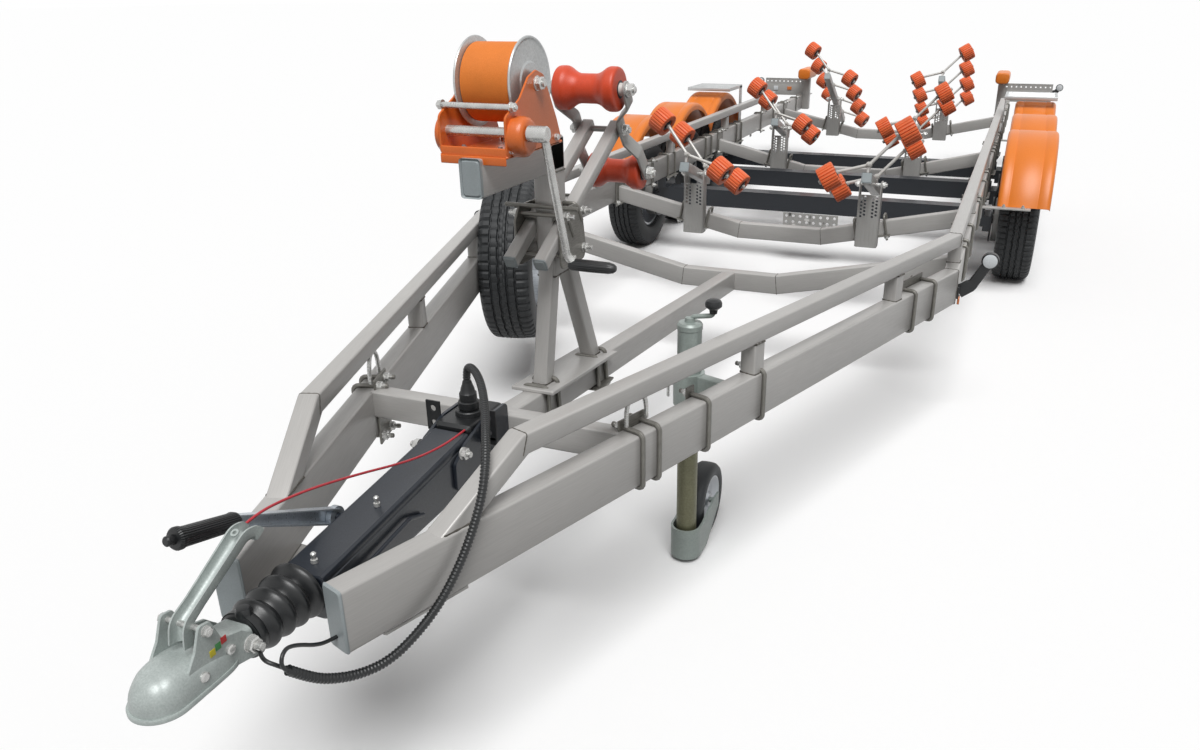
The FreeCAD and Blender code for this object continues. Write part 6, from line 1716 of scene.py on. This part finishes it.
@dataclass
class Jockey:
    """Clamped outer tube with its crank, and the wheel in its bowl-shaped fork."""

    x: float = 0.345
    back: float = 1.155

    def tube(self) -> tuple[list[Surface], list[Surface], list[Surface]]:
        """Outer tube with its cap and crank, the clamp and plate, and the knob."""
        spot = at(self.x, self.back, 0)
        level = spot - 0.0625 * Z
        outer = [(-0.160, 0.0282), (-0.160, 0.0320), (0.100, 0.0320), (0.102, 0.0335), (0.114, 0.0335),
                 (0.120, 0.0290),
                 (0.121, 0.0140), (0.132, 0.0130), (0.134, 0.0080), (0.134, 0.0), (0.090, 0.0),
                 (0.090, 0.0282)]
        parts = [lathe(outer, spot, Z, 48, loop=True)]
        crank = rounded([spot + 0.126 * Z, spot + 0.136 * Z + 0.010 * X, spot + 0.144 * Z + 0.062 * X,
                         spot + 0.165 * Z + 0.062 * X], 0.012, 5)
        parts.append(round_bar(crank, 0.0065, Y, 12))
        clamp = [(-0.045, 0.0322), (-0.045, 0.0415), (0.045, 0.0415), (0.045, 0.0322)]
        bracket = [lathe(clamp, level, Z, 40, loop=True)]
        face = at(slope_x(1.035), 1.035, -0.0625) - 0.004 * ACROSS_SLOPE
        bracket.append(bar(face, face + 0.240 * ALONG_SLOPE, 0.008, 0.090, 0.002))
        gap = (slope_x(self.back) - self.x) * math.cos(SLOPE) - 0.008
        bracket.append(bar(level + 0.034 * ACROSS_SLOPE, level + gap * ACROSS_SLOPE, 0.030, 0.088, 0.003))
        nuts = []
        for along in (0.020, 0.075, 0.165, 0.220):
            nuts += bolt(face + along * ALONG_SLOPE - 0.004 * ACROSS_SLOPE + 0.020 * Z, -ACROSS_SLOPE, 0.012,
                         0.006)
        screw = level - 0.0415 * ACROSS_SLOPE
        nuts.append(lathe([(-0.004, 0), (-0.004, 0.007), (0.030, 0.007), (0.030, 0)], screw, -ACROSS_SLOPE,
                          16))
        handle = screw - 0.028 * ACROSS_SLOPE
        nuts.append(round_bar(np.array([handle - 0.045 * Z, handle, handle + 0.045 * Z]), 0.0045, Y, 10))
        knob = [(0.150, 0.0), (0.150, 0.0095), (0.160, 0.0110), (0.164, 0.0160), (0.169, 0.0215),
                (0.177, 0.0220), (0.184, 0.0190), (0.188, 0.0110), (0.189, 0.0)]
        return parts + bracket, nuts, [lathe(knob, spot + 0.062 * X, Z, 36)]

    def wheel(self) -> tuple[list[Surface], list[Surface]]:
        """Solid tyre with rounded shoulders, and its pressed rim."""
        centre = at(self.x, self.back + 0.150, 0.110 - TOP)
        side = [(0.0240, 0.070), (0.0290, 0.078), (0.0310, 0.090), (0.0280, 0.102), (0.0190, 0.1085),
                (0.0080, 0.1098)]
        tyre = lathe(side + [(-a, r) for a, r in side[::-1]], centre, X, 72, loop=True)
        dish = [(0.0215, 0.0088), (0.0215, 0.0200), (0.0140, 0.0260), (0.0110, 0.0480), (0.0200, 0.0600),
                (0.0270, 0.0680), (0.0270, 0.0730), (0.0235, 0.0720)]
        rim = lathe(dish + [(-a, r) for a, r in dish[::-1]], centre, X, 48, loop=True)
        return [tyre], [rim]

    def dress(self) -> None:
        """Builds the jockey wheel; its leg and fork keep the frame's own shapes."""
        steel, nuts, knob = self.tube()
        make("jockey_outer", steel, ZINC, "chassis", ("jockey_tube",))
        make("jockey_bolts", nuts, BRIGHT, "chassis")
        make("jockey_knob", knob, RUBBER, "chassis")
        tyre, rim = self.wheel()
        make("jockey_tyre", tyre, GREY_RUBBER, "jockey_wheel", ("jockey_wheel",), 50)
        make("jockey_rim", rim, RIM, "jockey_wheel")


# Rear end and side markers


@dataclass
class RearEnd:
    """Uprights with the light boards' rails and lamps, guide pads, and the side markers."""

    rear: float = 8.150
    inner: float = 0.872
    outer: float = 1.262
    holes: int = 10
    post: float = 0.852
    pad_past: float = 0.100
    pad_length: float = 0.330

    def rails(self) -> list[Surface]:
        """Upright, bracket and the board's folded rail with a row of holes."""
        front = self.rear + self.pad_past - self.pad_length / 2 - 0.030
        parts = [bar(at(self.post, front + 0.030, -0.125), at(self.post, front + 0.030, 0.150), 0.060, 0.060,
                     0.004, Y),
                 bar(at(0.877, front, 0.003), at(0.877, self.rear + 0.060, 0.003), 0.110, 0.006, 0.002)]
        low, high, pitch, half = -0.012, 0.138, 0.039, 0.025
        for back, rise, width, height in ((0.002, low + 0.050, 0.004, 0.100),
                                          (0.022, high - 0.002, 0.044, 0.004)):
            parts.append(bar(at(self.inner, self.rear + back, rise), at(self.outer, self.rear + back, rise),
                             width, height, 0.001))
        parts += [tile(at(self.inner + pitch * (index + 0.5), self.rear, high - half), 0.34, 0.004,
                       (pitch / 2, half)) for index in range(self.holes)]
        return parts

    def lamps(self) -> dict[str, list[Surface]]:
        """Lamp box behind the rail with its red and amber lenses, and white and amber reflectors at the
        front."""
        def block(x0: float, x1: float, past: float, rise: float, deep: float, high: float,
                  corner: float) -> Surface:
            """A block between two offsets from the middle, its own middle at a distance past the rail's
            front."""
            return bar(at(x0, self.rear + past, rise), at(x1, self.rear + past, rise), deep, high, corner)

        return {"box": [block(0.935, 1.225, 0.021, 0.055, 0.032, 0.100, 0.006)],
                "red": [block(0.945, 1.110, 0.044, 0.055, 0.016, 0.088, 0.006)],
                "amber": [block(1.115, 1.215, 0.044, 0.055, 0.016, 0.088, 0.006),
                          block(1.010, 1.052, -0.003, 0.050, 0.008, 0.030, 0.002)],
                "white": [block(1.140, 1.182, -0.003, 0.050, 0.008, 0.036, 0.002)]}

    def pad(self) -> Surface:
        """Long pad whose ends are rounded: its section shrinks along a quarter circle at each end."""
        end, length = self.rear + self.pad_past, self.pad_length
        turn = np.linspace(0, math.pi / 2, 6)
        reach = np.r_[0.024 * (1 - np.cos(turn)), 0.5 * length, length - 0.024 * (1 - np.cos(turn[::-1]))]
        scale = np.r_[0.78 + 0.22 * np.sin(turn), 1.0, 0.78 + 0.22 * np.sin(turn[::-1])]
        ring = rounded_rectangle(0.112, 0.092, 0.030, 6)
        rings = [np.stack([self.post + ring[:, 0] * k, np.full(len(ring), end - length + step + FRONT),
                           0.150 + 0.046 + ring[:, 1] * k + TOP], axis=-1) for step, k in zip(reach, scale)]
        return grid(np.stack(rings), caps=True)

    def markers(self) -> dict[str, list[Surface]]:
        """Rubber paddles that carry round lamps, white to the front and red to the rear, above an amber
        reflector."""
        parts: dict[str, list[Surface]] = {"rubber": [], "white": [], "red": [], "amber": []}
        for x, back, rise, reach, lift in ((0.932, 2.425, -0.100, 0.096, 0.122),
                                           (1.262, 8.180, 0.063, 0.053, 0.048)):
            root, lamp = at(x + 0.004, back, rise), at(x + reach, back, rise + lift)
            knee = root + np.array([reach * 0.45, 0, lift * 0.25])
            path = rounded([root, knee, lamp], 0.04, 6)
            scale = np.linspace(1.15, 0.85, len(path))
            parts["rubber"].append(sweep(path, rounded_rectangle(0.042, 0.014, 0.005, 3), Y, scale=scale))
            parts["rubber"].append(bar(root - 0.022 * Z - 0.001 * X, root + 0.022 * Z - 0.001 * X, 0.050,
                                       0.008, 0.002, X))
            parts["rubber"].append(lathe([(-0.0115, 0.0), (-0.0115, 0.0270), (-0.0100, 0.0295),
                                          (0.0100, 0.0295), (0.0115, 0.0270), (0.0115, 0.0)], lamp, Y, 40))
            for name, way in (("white", -Y), ("red", Y)):
                parts[name].append(lathe([(0.0100, 0.0), (0.0100, 0.0250), (0.0130, 0.0240), (0.0150, 0.0160),
                                          (0.0153, 0.0)], lamp, way, 36))
            foot = root - 0.030 * Z
            parts["amber"].append(bar(foot - 0.020 * Y + 0.004 * X, foot + 0.020 * Y + 0.004 * X, 0.008,
                                      0.026, 0.002))
        return parts

    def dress(self) -> None:
        """Builds the rear end and the markers."""
        make("board_rails", both_sides(self.rails()), PLATE, "chassis", ("light_boards",))
        make("guide_pad_foam", both_sides([self.pad()]), GUARD, "chassis", ("guide_pads",),
             50)
        lamps, markers = self.lamps(), self.markers()
        make("lamp_boxes", both_sides(lamps["box"]), NYLON, "chassis")
        make("marker_paddles", both_sides(markers["rubber"]), RUBBER, "chassis", ("marker_arms",))
        for name, finish in (("red", RED_LENS), ("amber", AMBER_LENS), ("white", WHITE_LENS)):
            make(f"{name}_lenses", both_sides(lamps[name] + markers[name]), finish, "chassis")


# Cords


class End(Enum):
    PLUG = "plug"
    FITTING = "fitting"


@dataclass
class Cord:
    """A loose cord along control points given as (x, back, rise) in millimetres, from where it leaves the
    trailer."""

    node: str
    name: str
    radius: float
    route: tuple[tuple[float, float, float], ...]
    finish: Finish
    slot: str
    end: End
    stiffness: str
    pieces: tuple[str, ...]

    def curve(self, bevel: float) -> bpy.types.Object:
        """Smooth curve whose control points are the route's own points."""
        points = np.array([at(x / 1000, back / 1000, rise / 1000) for x, back, rise in self.route])
        data = bpy.data.curves.new(self.name, "CURVE")
        data.dimensions = "3D"
        spline = data.splines.new("NURBS")
        spline.points.add(len(points) - 1)
        spline.points.foreach_set("co", np.c_[points, np.ones(len(points))].ravel())
        spline.order_u, spline.use_endpoint_u, spline.resolution_u = 3, True, 16
        data.bevel_depth, data.bevel_resolution, data.use_fill_caps = bevel, 4, bevel > 0
        piece = bpy.data.objects.new(self.name, data)
        bpy.context.scene.collection.objects.link(piece)
        return piece

    def line(self) -> np.ndarray:
        """Points along the curve itself."""
        piece = self.curve(0.0)
        mesh = bpy.data.meshes.new_from_object(piece)
        points = np.empty(len(mesh.vertices) * 3)
        mesh.vertices.foreach_get("co", points)
        bpy.data.meshes.remove(mesh)
        data = piece.data
        bpy.data.objects.remove(piece)
        bpy.data.curves.remove(data)
        return points.reshape(-1, 3)

    def spread(self, step: float) -> np.ndarray:
        """The curve's points again, at even distances of about one step."""
        line = self.line()
        reach = np.r_[0, np.cumsum(np.linalg.norm(np.diff(line, axis=0), axis=1))]
        even = np.linspace(0, reach[-1], max(2, round(reach[-1] / step)) + 1)
        return np.stack([np.interp(even, reach, line[:, axis]) for axis in range(3)], axis=-1)

    def declare(self) -> None:
        line = self.line()

    def plain(self) -> None:
        """A smooth round cord."""
        piece = self.curve(self.radius)
        piece.data.materials.append(self.finish.build())
        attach(piece, "chassis")
        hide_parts(self.node)
        self.declare()

    def corrugated(self, pitch: float, depth: float) -> None:
        """A corrugated tube: its radius rises and falls with the way along it, six stations for each rib."""
        path = self.spread(pitch / 6)
        scale = 1 - depth / self.radius * (0.5 - 0.5 * np.cos(np.arange(len(path)) * math.pi / 3))
        piece = make(self.name, [sweep(path, circle(self.radius, 20), X, scale=scale)], self.finish,
                     "chassis", (self.node,), 60)
        self.declare()


@dataclass
class Cables:
    """Electric conduit with its plug, the two thin cables at its end, and the breakaway cable."""

    def ends(self) -> None:
        """The plug, the boots at the conduit's lower end and the breakaway cable's crimps."""
        plug = [(0.002, 0.0), (0.002, 0.0205), (0.014, 0.0205), (0.016, 0.0235), (0.030, 0.0235),
                (0.032, 0.0200),
                (0.050, 0.0195), (0.054, 0.0165), (0.062, 0.0150), (0.070, 0.0118), (0.078, 0.0100),
                (0.078, 0.0)]
        ribs = np.where(np.arange(48) % 4 < 3, 1.0, 0.965)
        make("road_plug", [lathe(plug, at(0.005, 0.620, 0.034), Z, 48, ripple=ribs)], NYLON, "chassis",
             ("parked_plug",))
        way = unit(at(0.114, -0.124, -0.078) - at(0.125, -0.096, -0.110))
        boot = [(-0.008, 0.0), (-0.008, 0.0055), (0.002, 0.0052), (0.005, 0.0040), (0.006, 0.0)]
        for name, spot in (("boot_coupling", at(0.1102, -0.1227, -0.0778)),
                           ("boot_beam", at(0.1177, -0.1255, -0.078))):
            make(name, [lathe(boot, spot, way, 20)], RUBBER, "chassis")
        end = at(-0.022, -0.184, 0.012)
        crimp = [(-0.026, 0.0), (-0.026, 0.0042), (-0.010, 0.0050), (0.000, 0.0050), (0.002, 0.0036),
                 (0.002, 0.0)]
        make("cable_crimp", [lathe(crimp, end, unit(end - at(-0.022, -0.148, 0.012)), 20)], BRIGHT, "chassis")

    def dress(self) -> None:
        """Builds the cords and their ends."""
        self.ends()
        Cord("plug_conduit", "conduit", 0.009, (
            (114, -124, -78), (125, -96, -110), (137, -63, -137), (155, -11, -162), (176, 46, -168),
                                                (197, 105, -144),
            (215, 158, -107), (229, 203, -56), (240, 236, -2), (246, 268, 55), (234, 308, 102),
                                                (198, 372, 126),
            (154, 448, 138), (106, 520, 150), (60, 575, 157), (22, 608, 155), (5, 620, 134), (5, 620, 104),
        ), RUBBER, "black_rubber", End.PLUG, "medium", ("road_plug",)).corrugated(0.0070, 0.0016)
        Cord("thin_cable_coupling", "coupling_cable", 0.0035, (
            (30, -114, -62), (50, -114, -62), (68, -130, -57), (88, -142, -55), (105.3, -135.3, -63.4),
            (110.2, -122.7, -77.8),
        ), RUBBER, "black_rubber", End.FITTING, "medium", ("boot_coupling",)).plain()
        Cord("thin_cable_beam", "beam_cable", 0.0035, (
            (113.6, -8.1, -97), (106.7, -28.8, -97), (104, -54, -84), (104, -76, -67), (106, -98, -52),
            (109, -117, -43), (112, -132, -50), (113.9, -135.1, -67.1), (117.7, -125.5, -78),
        ), RUBBER, "black_rubber", End.FITTING, "medium", ("boot_beam",)).plain()
        Cord("breakaway_cable", "breakaway_line", 0.0025, (
            (34, 550, 27), (32, 500, 25), (27, 440, 28), (20, 378, 36), (12, 316, 50), (4, 254, 66),
                                                           (-5, 192, 80),
            (-13, 130, 93), (-19, 68, 103), (-23, 6, 109), (-25, -54, 99), (-24, -112, 56), (-22, -148, 12),
            (-22, -184, 12),
        ), RED_PVC, "red_cable", End.FITTING, "stiff", ("cable_crimp",)).plain()


# Stage


@dataclass
class Studio:
    """Pale floor, soft lamps, pale background and the camera of the photograph."""

    place: tuple[float, float, float] = (1.066, -4.984, 1.491)
    yaw: float = -22.544
    pitch: float = -22.884
    roll: float = -0.567
    lens: float = 28.03
    shift: tuple[float, float] = (-0.0219, 0.0097)

    def camera(self) -> None:
        """Sets the camera: its view is turned by the yaw about Z, tipped by the pitch and rolled about
        itself."""
        yaw, pitch, roll = np.radians([self.yaw, self.pitch, self.roll])
        ahead = np.array([math.sin(yaw) * math.cos(pitch), math.cos(yaw) * math.cos(pitch), math.sin(pitch)])
        right = np.array([math.cos(yaw), -math.sin(yaw), 0])
        up = np.cross(right, ahead)
        matrix = np.eye(4)
        matrix[:3, 0] = math.cos(roll) * right + math.sin(roll) * up
        matrix[:3, 1] = -math.sin(roll) * right + math.cos(roll) * up
        matrix[:3, 2], matrix[:3, 3] = -ahead, self.place
        data = bpy.data.cameras.new("photo_camera")
        data.lens, data.sensor_width = self.lens, 36.0
        data.shift_x, data.shift_y = self.shift
        data.clip_end = 500.0
        camera = bpy.data.objects.new("photo_camera", data)
        bpy.context.scene.collection.objects.link(camera)
        camera.matrix_world = Matrix(matrix.tolist())
        bpy.context.scene.camera = camera

    def floor(self) -> None:
        """A pale floor far past the view; the colour that the camera and reflections see is paler than what
        it throws back, so that the trailer's sides keep their shade."""
        size = 150.0
        corners = np.array([(-size, -size, 0), (size, -size, 0), (size, size, 0), (-size, size, 0)], float)
        mesh = bpy.data.meshes.new("floor")
        mesh.from_pydata(corners.tolist(), [], [(0, 1, 2, 3)])
        floor = bpy.data.objects.new("floor", mesh)
        bpy.context.scene.collection.objects.link(floor)
        material = bpy.data.materials.new("pale_floor")
        material.use_nodes = True
        tree = material.node_tree
        tree.nodes.clear()
        colour = add(tree, "ShaderNodeMix", {"data_type": "RGBA"}, _0=seen_rays(tree), _6=linear("#4C4C4C"),
                     _7=linear("#FFFFFF"))
        shader = add(tree, "ShaderNodeBsdfDiffuse", Color=colour.outputs[2])
        add(tree, "ShaderNodeOutputMaterial", Surface=shader.outputs[0])
        mesh.materials.append(material)

    def light(self) -> None:
        """A soft sun from above and an even sky; the camera and reflections see a pale sky."""
        sun = bpy.data.lights.new("soft_sun", "SUN")
        sun.energy, sun.angle = 2.9, math.radians(35)
        lamp = bpy.data.objects.new("soft_sun", sun)
        bpy.context.scene.collection.objects.link(lamp)
        lamp.rotation_euler = (math.radians(28), math.radians(14), 0)
        world = bpy.data.worlds.new("studio_sky")
        bpy.context.scene.world = world
        world.use_nodes = True
        tree = world.node_tree
        tree.nodes.clear()
        strength = add(tree, "ShaderNodeMapRange", Value=seen_rays(tree), To_Min=0.2, To_Max=1.0)
        sky = add(tree, "ShaderNodeBackground", Color=(1, 1, 1, 1), Strength=strength.outputs[0])
        add(tree, "ShaderNodeOutputWorld", Surface=sky.outputs[0])
        bpy.context.scene.view_settings.view_transform = "Standard"

    def build(self) -> None:
        """Sets up everything that isn't the trailer."""
        self.camera()
        self.floor()
        self.light()


def dress_nodes() -> None:
    """Gives the CAD nodes that keep their own shape their finish."""
    # The jockey leg's finish is the zinc tube painted darker, as painted shade below the beam
    for node, finish in (("axles", AXLE), ("jockey_leg", OLIVE), ("jockey_fork", ZINC)):
        dress(node, finish)


def main() -> None:
    """Builds the studio and the trailer."""
    logging.basicConfig(level=logging.INFO, format="%(message)s")
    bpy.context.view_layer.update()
    Studio().build()
    Chassis().dress()
    Wheel().dress()
    Mudguards().dress()
    Fittings().dress()
    Stand().dress()
    Winch().dress()
    BowStop().dress()
    Coupling().dress()
    Cradles().dress()
    Jockey().dress()
    RearEnd().dress()
    Cables().dress()
    dress_nodes()


if __name__ == "__main__":
    main()
